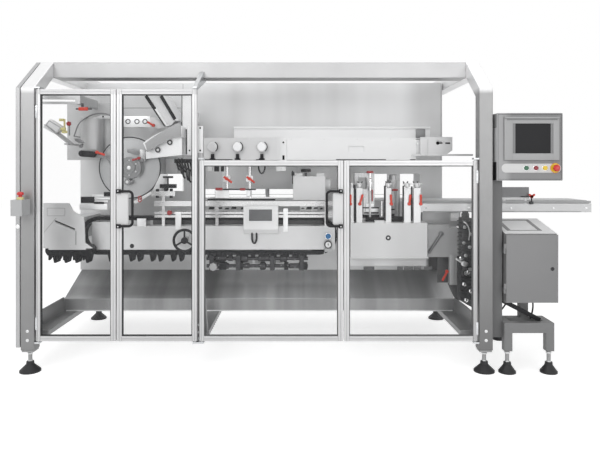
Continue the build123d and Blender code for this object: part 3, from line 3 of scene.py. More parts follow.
import bmesh
import bpy
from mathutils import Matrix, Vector


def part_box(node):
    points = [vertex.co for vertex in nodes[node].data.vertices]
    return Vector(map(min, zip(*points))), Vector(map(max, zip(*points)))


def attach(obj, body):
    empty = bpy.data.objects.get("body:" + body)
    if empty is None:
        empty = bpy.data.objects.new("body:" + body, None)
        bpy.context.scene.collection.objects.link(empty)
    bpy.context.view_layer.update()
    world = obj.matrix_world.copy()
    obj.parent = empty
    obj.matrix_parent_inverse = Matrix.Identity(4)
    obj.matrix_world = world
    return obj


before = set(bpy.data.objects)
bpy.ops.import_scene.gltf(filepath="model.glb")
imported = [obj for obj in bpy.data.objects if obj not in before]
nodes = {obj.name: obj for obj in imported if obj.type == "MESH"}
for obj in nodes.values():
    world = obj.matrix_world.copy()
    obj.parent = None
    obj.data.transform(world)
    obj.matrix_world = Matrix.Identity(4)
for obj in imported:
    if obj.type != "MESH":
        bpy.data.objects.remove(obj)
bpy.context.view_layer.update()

# Camera with the photograph's view, square to the front of the guard frame

PHOTO_WIDTH, PHOTO_HEIGHT = 600, 451
HORIZON_X, HORIZON_Y = 297, 166
FOCAL_PIXELS = 600
CAMERA_DISTANCE = 3.6
CAMERA_HEIGHT = 1.245
CAMERA_X = -0.162
SENSOR = 36.0
MM = 0.001
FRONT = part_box("left_side_frame")[0].y


def make_camera():
    """A level camera whose shift puts the horizon where the photograph has it."""
    data = bpy.data.cameras.new("photo_camera")
    data.sensor_width = SENSOR
    data.lens = SENSOR * FOCAL_PIXELS / PHOTO_WIDTH
    data.shift_x = (PHOTO_WIDTH / 2 - HORIZON_X) / PHOTO_WIDTH
    data.shift_y = -(PHOTO_HEIGHT / 2 - HORIZON_Y) / PHOTO_WIDTH
    data.clip_end = 60
    camera = bpy.data.objects.new("photo_camera", data)
    camera.location = (CAMERA_X, FRONT - CAMERA_DISTANCE, CAMERA_HEIGHT)
    camera.rotation_euler = (math.radians(90), 0, 0)
    bpy.context.scene.collection.objects.link(camera)
    bpy.context.scene.camera = camera


make_camera()
bpy.context.scene.view_settings.view_transform = "Standard"


# Node materials


def put(tree, node, values):
    """Links or sets a node's inputs, by name or number."""
    for key, value in values.items():
        socket = node.inputs[key]
        if isinstance(value, bpy.types.NodeSocket):
            tree.links.new(value, socket)
        else:
            socket.default_value = (*value, 1) if socket.type == "RGBA" else value


def add(tree, kind, values, output, **settings):
    """Adds a shader node with its settings and inputs, and gives one of its outputs."""
    node = tree.nodes.new(f"ShaderNode{kind}")
    for key, value in settings.items():
        setattr(node, key, value)
    put(tree, node, values)
    return node.outputs[output]


def new_material(name):
    """A node material with its shader and output."""
    material = bpy.data.materials.new(name)
    material.use_nodes = True
    tree = material.node_tree
    tree.nodes.clear()
    shader = tree.nodes.new("ShaderNodeBsdfPrincipled")
    put(tree, tree.nodes.new("ShaderNodeOutputMaterial"), {"Surface": shader.outputs["BSDF"]})
    return material, tree, shader


def noise(tree, scale, detail=3.0, stretch=(1, 1, 1)):
    """A noise pattern in the object's own metres, drawn out along an axis where stretch is small."""
    place = add(tree, "TexCoord", {}, "Object")
    mapped = add(tree, "Mapping", {"Vector": place, "Scale": stretch}, "Vector")
    return add(tree, "TexNoise", {"Vector": mapped, "Scale": scale, "Detail": detail}, "Fac")


def along(tree, axis):
    """The place along an axis of the object, in metres."""
    return add(tree, "SeparateXYZ", {"Vector": add(tree, "TexCoord", {}, "Object")}, axis)


def ramp(tree, value, low, high, start=0.3, end=0.7):
    """Maps a pattern to a range of numbers."""
    limits = {"Value": value, "From Min": start, "From Max": end, "To Min": low, "To Max": high}
    return add(tree, "MapRange", limits, "Result")


def mix_colour(tree, factor, first, second, blend="MIX"):
    """Blends two colours, or a socket and a colour, by a factor."""
    parts = {"Factor": factor, "A": first, "B": second}
    return add(tree, "Mix", parts, "Result", data_type="RGBA", blend_type=blend)


def shade(colour, factor):
    """A colour made lighter or darker."""
    return tuple(min(1.0, part * factor) for part in colour)


def clouded(tree, pattern, colour, low, high):
    """A colour that a pattern varies between two shares of its brightness."""
    return mix_colour(tree, ramp(tree, pattern, 0, 1), shade(colour, low), shade(colour, high))


def finish(tree, shader, base, bright, soft, roughness, relief, grain, depth=0.0002):
    """Gives the shader its colour with lighter edges, painted highlight together with edge wear, its roughness
    and fine relief.
    """
    rounded = add(tree, "Bevel", {"Radius": soft}, "Normal", samples=4)
    flat = add(tree, "NewGeometry", {}, "Normal")
    facing = add(tree, "VectorMath", {0: rounded, 1: flat}, "Value", operation="DOT_PRODUCT")
    # Lighter colour at the edges: painted highlight together with edge wear
    edges = ramp(tree, facing, 1, 0, 0.90, 0.996)
    bumps = {"Strength": grain, "Distance": depth, "Height": relief, "Normal": rounded}
    put(tree, shader, {"Base Color": mix_colour(tree, edges, base, bright), "Roughness": roughness,
                       "Normal": add(tree, "Bump", bumps, "Normal")})


def metal(name, colour, roughness, stretch=(1, 1, 1), metallic=1.0, soft=0.0022, edge=1.25, grain=0.25):
    """Sheet or profile metal: drawn-out grain, faint clouding and bright edges of painted highlight and edge
    wear.
    """
    material, tree, shader = new_material(name)
    lines = noise(tree, 900, 2.0, stretch)
    base = clouded(tree, noise(tree, 3.2, 4.0), colour, 0.94, 1.06)
    rough = ramp(tree, lines, roughness - 0.07, roughness + 0.09)
    finish(tree, shader, base, shade(colour, edge), soft, rough, lines, grain)
    put(tree, shader, {"Metallic": metallic})
    return material


def paint(name, colour, roughness, edge=1.12, gloss=0.5, coat=0.0, grain=0.12, cloud=0.035, speck=1400):
    """Powder coat or moulded plastic: orange-peel relief, faint clouding and lighter edges of painted
    highlight and edge wear.
    """
    material, tree, shader = new_material(name)
    clouds = noise(tree, 2.4, 5.0)
    base = clouded(tree, clouds, colour, 1 - cloud, 1 + cloud)
    rough = ramp(tree, clouds, roughness - 0.05, roughness + 0.05)
    finish(tree, shader, base, shade(colour, edge), 0.0018, rough, noise(tree, speck, 2.0), grain, 0.0003)
    put(tree, shader, {"Specular IOR Level": gloss, "Coat Weight": coat, "Coat Roughness": 0.08})
    return material


def streaked_metal(name, colour, roughness, metallic, scale, spread):
    """Sheet metal with broad soft streaks that run up and down it, and a fine grain along them."""
    material, tree, shader = new_material(name)
    streaks = noise(tree, scale, 3.0, (1, 0.04, 0.04))
    fine = noise(tree, 900, 2.0, (1, 0.02, 0.02))
    base = clouded(tree, streaks, colour, 1 - spread, 1 + spread)
    rough = ramp(tree, streaks, roughness - 0.08, roughness + 0.12)
    finish(tree, shader, base, shade(colour, 1.5), 0.002, rough, fine, 0.15)
    put(tree, shader, {"Metallic": metallic})
    return material


def clear_sheet(name, colour, alpha, roughness):
    """Clear sheet: mostly open, with a faint film that gathers dust."""
    material, tree, shader = new_material(name)
    film = noise(tree, 5.0, 5.0)
    put(tree, shader, {"Base Color": clouded(tree, film, colour, 0.96, 1),
                       "Alpha": ramp(tree, film, alpha * 0.8, alpha * 1.2),
                       "Roughness": ramp(tree, film, roughness, roughness + 0.05)})
    return material


def turned_metal(name, colour, roughness, centre):
    """Faced metal: fine rings around an axis along Y, and a darker hub."""
    material, tree, shader = new_material(name)
    flat = {"Vector": add(tree, "TexCoord", {}, "Object"), "Location": (-centre[0], 0, -centre[2]),
            "Scale": (1, 0, 1)}
    place = add(tree, "Mapping", flat, "Vector")
    rings = add(tree, "TexWave", {"Vector": place, "Scale": 160, "Distortion": 0.4}, "Fac",
                wave_type="RINGS", rings_direction="SPHERICAL")
    reach = add(tree, "VectorMath", {0: place}, "Value", operation="LENGTH")
    base = clouded(tree, noise(tree, 6.0, 3.0), colour, 0.92, 1.06)
    base = mix_colour(tree, ramp(tree, reach, 1, 0, 0.074, 0.078), base, shade(colour, 0.55))
    rough = ramp(tree, rings, roughness - 0.05, roughness + 0.08, 0, 1)
    finish(tree, shader, base, shade(colour, 1.2), 0.002, rough, rings, 0.08)
    put(tree, shader, {"Metallic": 1.0})
    return material


def banded(name, axis, *stops):
    """Recolours a material by place along an axis: (upper limit in metres, colour) pairs."""
    tree = look[name].node_tree
    socket = tree.nodes["Principled BSDF"].inputs["Base Color"]
    base = socket.links[0].from_socket
    for limit, colour in reversed(stops):
        below = ramp(tree, along(tree, axis), 1, 0, limit - 0.0005, limit + 0.0005)
        base = mix_colour(tree, below, base, colour)
    tree.links.new(base, socket)


FALLING, RISING = (1, 0), (0, 1)


def graded(name, low, high, share, axis="Z", ends=FALLING, *window):
    """Paints light or shade into a material: tones it by a share along an axis, within windows of axis, ends
    and limits.
    """
    tree = look[name].node_tree
    socket = tree.nodes["Principled BSDF"].inputs["Base Color"]
    factor = ramp(tree, along(tree, axis), *ends, low, high)
    for other, way, *limits in window:
        inside = ramp(tree, along(tree, other), *way, *limits)
        factor = add(tree, "Math", {0: factor, 1: inside}, "Value", operation="MULTIPLY")
    toned = mix_colour(tree, factor, socket.links[0].from_socket, (share, share, share), "MULTIPLY")
    tree.links.new(toned, socket)


EVEN = (1, 1, 1)
ALONG_X = (0.02, 1, 1)
ALONG_Z = (1, 1, 0.02)
BLACK = (0.022, 0.022, 0.024)
GREEN = (0.012, 0.12, 0.055)
DARK_RED = (0.24, 0.006, 0.016)
YELLOW = (0.80, 0.55, 0.02)
PALE_YELLOW = (0.72, 0.66, 0.30)

# Colour, roughness, direction of the grain, metallic, softness and brightness of edges (painted highlight and
# edge wear), grain
METALS = {
    "frame_steel": ((0.84, 0.84, 0.844), 0.42, ALONG_Z, 0.70, 0.010, 1.12),
    # right_steel is a copy of frame_steel that its grades make darker: painted shade on the right side frame
    "right_steel": ((0.84, 0.84, 0.844), 0.42, ALONG_Z, 0.70, 0.010, 1.12),
    "mullion_steel": ((0.45, 0.45, 0.454), 0.42, ALONG_Z, 0.70, 0.010),
    "beam_steel": ((0.52, 0.52, 0.524), 0.42, ALONG_X, 0.70, 0.010, 1.12),
    "door_profile": ((0.71, 0.71, 0.715), 0.38, ALONG_Z, 0.55),
    "guard_profile": ((0.47, 0.472, 0.476), 0.40, ALONG_Z, 0.55),
    "hinge_steel": ((0.55, 0.56, 0.57), 0.32, ALONG_X),
    "bed_aluminium": ((0.60, 0.603, 0.607), 0.40, ALONG_X, 0.6),
    "rail_steel": ((0.66, 0.66, 0.664), 0.24, ALONG_X),
    "guide_steel": ((0.70, 0.70, 0.704), 0.26, ALONG_X),
    "post_steel": ((0.64, 0.643, 0.647), 0.36, ALONG_Z, 0.6),
    "feeder_grey": ((0.55, 0.553, 0.557), 0.42, ALONG_Z, 0.4),
    "head_steel": ((0.66, 0.663, 0.667), 0.40, ALONG_Z, 0.5),
    "chute_white": ((0.80, 0.803, 0.807), 0.40, ALONG_Z, 0.35),
    "conveyor_steel": ((0.62, 0.623, 0.627), 0.44, ALONG_X, 0.35, 0.0022, 1.25, 0.1),
    "plate_aluminium": ((0.84, 0.845, 0.85), 0.36, ALONG_X, 0.5),
    "bracket_steel": ((0.60, 0.603, 0.607), 0.44, ALONG_X, 0.4),
    "knob_grey": ((0.76, 0.765, 0.77), 0.34, EVEN, 0.6),
    "chrome": ((0.86, 0.86, 0.865), 0.10, EVEN, 1.0, 0.0022, 1.25, 0.05),
    "zinc": ((0.66, 0.665, 0.67), 0.34, EVEN, 1.0, 0.0022, 1.25, 0.1),
    "dark_steel": ((0.050, 0.050, 0.053), 0.38, ALONG_X, 0.6),
    "drive_grey": ((0.43, 0.432, 0.436), 0.42, ALONG_Z, 0.3),
    "tool_grey": ((0.46, 0.462, 0.466), 0.30, ALONG_Z, 0.7),
    "hub_grey": ((0.24, 0.242, 0.246), 0.40, EVEN, 0.5),
    "band_grey": ((0.40, 0.402, 0.406), 0.44, ALONG_X, 0.3),
    "band_dark": ((0.085, 0.086, 0.088), 0.46, ALONG_X, 0.3),
}

# Colour, roughness, brightness of edges (painted highlight and edge wear), gloss, clear coat, grain, clouding,
# fineness of the grain
PAINTS = {
    "stand_steel": ((0.205, 0.206, 0.208), 0.46),
    "black_plastic": ((0.018, 0.018, 0.020), 0.42, 2.2, 0.22),
    "feet_black": ((0.030, 0.030, 0.032), 0.48, 2.0, 0.3),
    "chain_black": ((0.014, 0.014, 0.016), 0.44, 2.6, 0.2),
    "housing_paint": ((0.74, 0.745, 0.75), 0.46),
    "cover_white": ((0.86, 0.863, 0.867), 0.40),
    "unit_grey": ((0.76, 0.763, 0.767), 0.42),
    "panel_white": ((0.88, 0.883, 0.887), 0.36, 1.12, 0.5, 0.2),
    "cabinet_grey": ((0.245, 0.245, 0.249), 0.46),
    "column_grey": ((0.135, 0.136, 0.138), 0.46),
    "box_grey": ((0.46, 0.465, 0.47), 0.46),
    "lever_red": ((0.66, 0.040, 0.014), 0.42, 1.2, 0.5, 0.1),
    "knob_red": ((0.34, 0.012, 0.014), 0.30, 1.5, 0.5, 0.5),
    "button_red": ((0.62, 0.012, 0.012), 0.28, 1.3, 0.5, 0.6),
    "button_blue": ((0.020, 0.150, 0.36), 0.34, 1.4, 0.5, 0.2),
    "button_yellow": (YELLOW, 0.34, 1.12, 0.5, 0.4),
    "pale_yellow": (PALE_YELLOW, 0.40),
    "belt_grey": ((0.62, 0.625, 0.63), 0.62, 1.12, 0.5, 0, 0.4, 0.035, 500),
    "screen_dark": ((0.045, 0.047, 0.05), 0.30, 1.3, 0.2, 0, 0.02),
    "screen_glass": ((0.030, 0.030, 0.032), 0.42, 1.0, 0.1, 0, 0.02),
    "lcd_grey": ((0.13, 0.133, 0.138), 0.38, 1.0, 0.5, 0, 0.02, 0.25),
    "dial_white": ((0.84, 0.84, 0.84), 0.30, 1.12, 0.5, 0, 0.02),
    "gasket_grey": ((0.15, 0.151, 0.153), 0.60, 1.2, 0.2),
    "gasket_black": ((0.055, 0.056, 0.058), 0.60, 1.2, 0.2),
    "strip_white": ((0.70, 0.70, 0.70), 0.50, 1.12, 0.3),
    "bore_dark": ((0.012, 0.012, 0.013), 0.60, 1.0, 0.1),
    "leaflet_white": ((0.93, 0.933, 0.937), 0.40),
    "slot_grey": ((0.62, 0.623, 0.627), 0.5, 1.0),
    "bezel_grey": ((0.39, 0.393, 0.397), 0.42),
    "dark_grey": ((0.22, 0.222, 0.225), 0.40),
    "lid_grey": ((0.78, 0.783, 0.787), 0.40),
}

# Colour, roughness, metallic, scale and spread of the streaks
STREAKED = {
    "wall_steel": ((0.64, 0.643, 0.647), 0.40, 0.45, 2.6, 0.14),
    # tray_steel's broad up-and-down streaks stand in for reflections: painted reflection
    "tray_steel": ((0.31, 0.312, 0.315), 0.38, 0.50, 7.0, 0.30),
    # wall_painted_light is a lighter copy of the wall's metal: painted light for sheets where the wall is
    # shaded
    "wall_painted_light": ((0.92, 0.923, 0.927), 0.42, 0.25, 3.4, 0.07),
}

disc_centre = sum(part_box("feeder_disc"), Vector()) / 2
look = {name: metal(name, *row) for name, row in METALS.items()}
look |= {name: paint(name, *row) for name, row in PAINTS.items()}
look |= {name: streaked_metal(name, *row) for name, row in STREAKED.items()}
look["disc_aluminium"] = turned_metal("disc_aluminium", (0.385, 0.39, 0.395), 0.34, disc_centre)
look["clear_pane"] = clear_sheet("clear_pane", (0.93, 0.95, 0.96), 0.014, 0.03)

EVERYWHERE = 9
hmi_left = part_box("hmi_cabinet")[0].x
leaflet_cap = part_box("leaflet_unit")[1].z - 0.021
collar_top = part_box("estop_box")[1].z + 0.0145
tray_edge = 0.3235
above_edge = ("Z", RISING, tray_edge, tray_edge + 0.002)

banded("guide_steel", "Z", (1.080, METALS["guide_steel"][0]), (EVERYWHERE, (0.030, 0.030, 0.032)))
banded("leaflet_white", "Z", (leaflet_cap, PAINTS["leaflet_white"][0]), (EVERYWHERE, BLACK))
banded("conveyor_steel", "Z", (1.030, METALS["conveyor_steel"][0]), (EVERYWHERE, (0.20, 0.202, 0.206)))
banded("button_blue", "X", (0.5, PAINTS["button_blue"][0]), (hmi_left + 0.203, GREEN),
       (hmi_left + 0.259, DARK_RED), (EVERYWHERE, YELLOW))
banded("button_red", "Z", (collar_top, PALE_YELLOW), (EVERYWHERE, PAINTS["button_red"][0]))
banded("feet_black", "Z", (0.066, PAINTS["feet_black"][0]), (EVERYWHERE, (0.42, 0.422, 0.426)))

# Painted light and shade, by material, two limits in metres, share, axis, way and windows
GRADES = (
    # Painted light and shade: side frames darkened below 1.68 m so their upward-facing top slope stays light;
    # side frames and mullion darker towards the floor
    ("frame_steel", 1.68, 1.72, 0.48),
    ("frame_steel", 0.10, 1.50, 0.60),
    ("right_steel", 1.68, 1.72, 0.39),
    ("right_steel", 0.10, 1.50, 0.49),
    ("mullion_steel", 0.10, 1.50, 0.60),
    # Painted shade: the beams darker towards their left end, and darker below 1.8162 m so only their top face
    # stays light
    ("beam_steel", -1.6, 0.2, 0.74, "X"),
    ("beam_steel", 1.8162, 1.8175, 0.70),
    # Painted shade: the door profiles darker towards the floor, on the top rails above 1.678 m and right of x
    # 0.893 m
    ("door_profile", 0.20, 1.25, 0.80),
    ("door_profile", 1.672, 1.678, 0.76, "Z", RISING),
    ("door_profile", 0.889, 0.893, 0.72, "X", RISING),
    # Painted shade: the slot covers darker towards the floor, as the door profiles
    ("slot_grey", 0.20, 1.25, 0.80),
    # Painted light and shade: the drip tray lighter or darker in stretches by height and along x, on its slope
    # and lower face
    ("tray_steel", -0.85, -0.75, 0.80, "X", FALLING, ("Z", RISING, 0.330, 0.345),
     ("Z", FALLING, 0.375, 0.395)),
    ("tray_steel", 0.385, 0.41, 1.50, "Z", RISING, ("X", RISING, -0.80, -0.70), ("X", FALLING, 0.12, 0.30)),
    ("tray_steel", 0.33, 0.44, 1.32, "Z", FALLING, above_edge),
    ("tray_steel", -0.75, -0.55, 2.15, "X", RISING, ("X", FALLING, -0.10, 0.25), above_edge),
    ("tray_steel", 0.20, 0.40, 1.25, "X", RISING, above_edge),
    # Painted light: the operator cabinet's left side lighter above 1.12 m
    ("cabinet_grey", hmi_left + 0.05, hmi_left + 0.09, 1.55, "X", FALLING, ("Z", RISING, 1.10, 1.12)),
    # Painted shade: the wall darker high up right of x 0.76 m and low down left of x -1.0 m
    ("wall_steel", 0.62, 0.76, 0.86, "X", RISING, ("Z", RISING, 1.45, 1.60)),
    ("wall_steel", 0.52, 0.58, 0.80, "Z", FALLING, ("X", FALLING, -1.0, -0.8)),
    # Painted shade: the white covers darker left of x -0.30 m, below 1.43 m and deeper than y -0.35 m
    ("cover_white", -0.30, -0.24, 0.80, "X", FALLING, ("Z", FALLING, 1.43, 1.45),
     ("X", RISING, -0.80, -0.79), ("Y", RISING, -0.40, -0.35)),
    # Painted shade: the grey units darker right of x 0.52 m, below 0.889 m and deeper than y -0.36 m
    ("unit_grey", 0.40, 0.52, 0.86, "X", RISING, ("Z", FALLING, 0.889, 0.890), ("Y", RISING, -0.40, -0.36)),
    # Painted light: the conveyor lighter left of x 0.985 m, inside the frame where it lies in shade
    ("conveyor_steel", 0.985, 1.015, 1.50, "X"),
)

for grade in GRADES:
    graded(*grade)

DOORS = range(1, 5)
NODE_LOOKS = {
    "frame_steel": ["left_side_frame"],
    "right_steel": ["right_side_frame"],
    "mullion_steel": ["sills", "door_mullion"],
    "beam_steel": ["upper_beams"],
    "door_profile": ["rear_guard", *(f"guard_door_{i}_frame" for i in DOORS)],
    "guard_profile": ["left_end_guard"],
    "clear_pane": ["fixed_guard_panes", *(f"guard_door_{i}_pane" for i in DOORS)],
    "black_plastic": ["guard_door_2_handle", "guard_door_3_handle", "handwheel"],
    "feet_black": ["levelling_feet"],
    "hinge_steel": ["door_pivots"],
    "wall_steel": ["machine_wall"],
    "tray_steel": ["drip_tray"],
    "housing_paint": ["electrical_cabinet", "drive_housing"],
    "bed_aluminium": ["bed_cover"],
    "chain_black": ["bucket_chain", "infeed_belt"],
    "guide_steel": ["guide_rails"],
    "rail_steel": ["clamp_stands"],
    "post_steel": ["adjuster_columns"],
    "conveyor_steel": ["discharge_conveyor"],
    "chute_white": ["carton_magazine"],
    "disc_aluminium": ["feeder_disc"],
    "feeder_grey": ["feeder_housing"],
    "head_steel": ["infeed_head"],
    "plate_aluminium": ["magazine_plate"],
    "bracket_steel": ["rail_end_bracket"],
    "cover_white": ["tool_rail_cover"],
    "knob_grey": ["adjuster_knobs"],
    "lever_red": ["clamp_levers"],
    "unit_grey": ["cable_duct", "closing_station"],
    "panel_white": ["display_panel"],
    "leaflet_white": ["leaflet_unit"],
    "drive_grey": ["gear_column"],
    "tool_grey": ["closing_tools"],
    "dark_steel": ["drive_shafts", "pressure_gauge"],
    "belt_grey": ["discharge_belt"],
    "column_grey": ["service_column"],
    "cabinet_grey": ["hmi_cabinet", "stand_cabinet", "stand_cabinet_door"],
    "screen_dark": ["hmi_screen"],
    "button_blue": ["push_buttons"],
    "button_red": ["emergency_buttons"],
    "box_grey": ["estop_box"],
    "stand_steel": ["cabinet_stand"],
}

for look_name, node_names in NODE_LOOKS.items():
    for node_name in node_names:
        nodes[node_name].data.materials.clear()
        nodes[node_name].data.materials.append(look[look_name])

# The slot that a piece takes from its look
SLOTS = {
    "hinge_steel": "hinge_steel zinc chrome tool_grey",
    "black_plastic": "black_plastic bore_dark gasket_black gasket_grey",
    "shaft_black": "hub_grey dark_steel band_dark drive_grey",
    "cabinet_grey": "cabinet_grey box_grey dark_grey bezel_grey lid_grey",
    "disc_aluminium": "plate_aluminium knob_grey",
    "lever_red": "lever_red knob_red",
    "screen_dark": "screen_glass lcd_grey",
    "panel_white": "panel_white pale_yellow button_yellow",
    "unit_grey": "unit_grey strip_white",
    "door_profile": "slot_grey",
    "cover_white": "cover_white",
    "feeder_grey": "band_grey",
    "wall_steel": "wall_painted_light",
    "chain_black": "chain_black",
    "gauge": "dial_white",
}
SLOT_OF = {name: slot for slot, names in SLOTS.items() for name in names.split()}


# Lamps, world and floor


def area_light(name, place, target, size, power):
    """A soft square lamp aimed at a point."""
    data = bpy.data.lights.new(name, "AREA")
    data.size = size
    data.energy = power
    lamp = bpy.data.objects.new(name, data)
    lamp.location = place
    lamp.rotation_euler = (Vector(target) - Vector(place)).to_track_quat("-Z", "Y").to_euler()
    bpy.context.scene.collection.objects.link(lamp)


WORLD_LIGHT = 0.50
FLOOR_GLOW = 0.60


def where_seen(tree, light, seen_light):
    """One level of light, and another for camera, glossy and transmission rays."""
    path = tree.nodes.new("ShaderNodeLightPath").outputs
    seen = path["Is Camera Ray"]
    for kind in ("Is Glossy Ray", "Is Transmission Ray"):
        seen = add(tree, "Math", {0: seen, 1: path[kind]}, "Value", operation="MAXIMUM")
    return ramp(tree, seen, light, seen_light, 0, 1)


def make_world():
    """White where it is seen and a plain level of light elsewhere."""
    world = bpy.data.worlds.new("studio")
    bpy.context.scene.world = world
    world.use_nodes = True
    tree = world.node_tree
    strength = where_seen(tree, WORLD_LIGHT, 1.0)
    put(tree, tree.nodes["Background"], {"Color": (1, 1, 1), "Strength": strength})


def make_floor():
    """A white floor that keeps the object's soft shadow."""
    mesh = bpy.data.meshes.new("floor")
    reach = 14
    corners = [(-reach, -reach, 0), (reach, -reach, 0), (reach, reach, 0), (-reach, reach, 0)]
    mesh.from_pydata(corners, [], [(0, 1, 2, 3)])
    floor = bpy.data.objects.new("floor", mesh)
    bpy.context.scene.collection.objects.link(floor)
    material = bpy.data.materials.new("floor_white")
    material.use_nodes = True
    tree = material.node_tree
    tree.nodes.clear()
    diffuse = add(tree, "BsdfDiffuse", {"Color": (0.82, 0.82, 0.82)}, "BSDF")
    glow = add(tree, "Emission", {"Strength": where_seen(tree, 0, FLOOR_GLOW)}, "Emission")
    both = add(tree, "AddShader", {0: diffuse, 1: glow}, "Shader")
    put(tree, tree.nodes.new("ShaderNodeOutputMaterial"), {"Surface": both})
    mesh.materials.append(material)


make_world()
make_floor()
area_light("key", (-2.4, -4.6, 3.8), (0, 0, 0.9), 3.5, 98)
area_light("fill", (2.4, -4.9, 1.7), (0, 0, 0.9), 3.5, 46)
area_light("top", (0, -0.2, 4.6), (0, 0.1, 1), 4.5, 44)


# Places in millimetres: x, depth behind the front of the frame, and height

TOWARDS = (0, -1, 0)
AWAY = (0, 1, 0)
UP = (0, 0, 1)
RIGHT = (1, 0, 0)
LEFT = (-1, 0, 0)
LEFT_HALF = range(90, 271, 15)
RIGHT_HALF = range(-90, 91, 15)


def at(x, depth, z):
    """A place in metres from x, depth behind the frame's front and height in millimetres."""
    return Vector((x * MM, FRONT + depth * MM, z * MM))


def extent(name):
    """A node's box in millimetres: x, depth and height pairs."""
    low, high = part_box(name)
    return tuple((round((low[i] - (FRONT if i == 1 else 0)) / MM, 2),
                  round((high[i] - (FRONT if i == 1 else 0)) / MM, 2)) for i in range(3))


def photo_xz(px, py, depth):
    """The x and height behind a pixel of the photograph's frame, at a depth."""
    scale = CAMERA_DISTANCE / FOCAL_PIXELS * (1 + depth * MM / CAMERA_DISTANCE)
    return (CAMERA_X + (px - HORIZON_X) * scale) / MM, (CAMERA_HEIGHT - (py - HORIZON_Y) * scale) / MM


def photo_x(px, depth):
    """The x behind a column of the photograph's frame, at a depth."""
    return photo_xz(px, HORIZON_Y, depth)[0]


def photo_box(box, depth):
    """The x and height pairs behind a box of left, right, top and bottom pixel, at a depth."""
    left, low = photo_xz(box[0], box[3], depth)
    right, high = photo_xz(box[1], box[2], depth)
    return (left, right), (low, high)


def photo_at(pixel, seen, depth=None):
    """A place in metres behind a pixel at the depth where it is seen, or moved to another depth."""
    x, z = photo_xz(*pixel, seen)
    return at(x, seen if depth is None else depth, z)


def arc(x, z, radius, turns):
    """Points on a circle of x and height, at turns in degrees."""
    return [(x + radius * math.cos(math.radians(turn)), z + radius * math.sin(math.radians(turn)))
            for turn in turns]


def cut_corners(x, z, corner):
    """A rectangle with its corners cut off."""
    (left, right), (low, high) = x, z
    return [(left + corner, low), (right - corner, low), (right, low + corner), (right, high - corner),
            (right - corner, high), (left + corner, high), (left, high - corner), (left, low + corner)]


def bar_outline(start, end, near, far):
    """The corners of a straight bar between two distances to the left of a line."""
    start, end = Vector(start), Vector(end)
    way = (end - start).normalized()
    across = Vector((-way.y, way.x))
    return [tuple(point + across * side)
            for point, side in ((start, near), (end, near), (end, far), (start, far))]


def axes(direction):
    """A direction and two more at right angles to it."""
    axis = Vector(direction).normalized()
    across = axis.orthogonal().normalized()
    return axis, across, axis.cross(across)


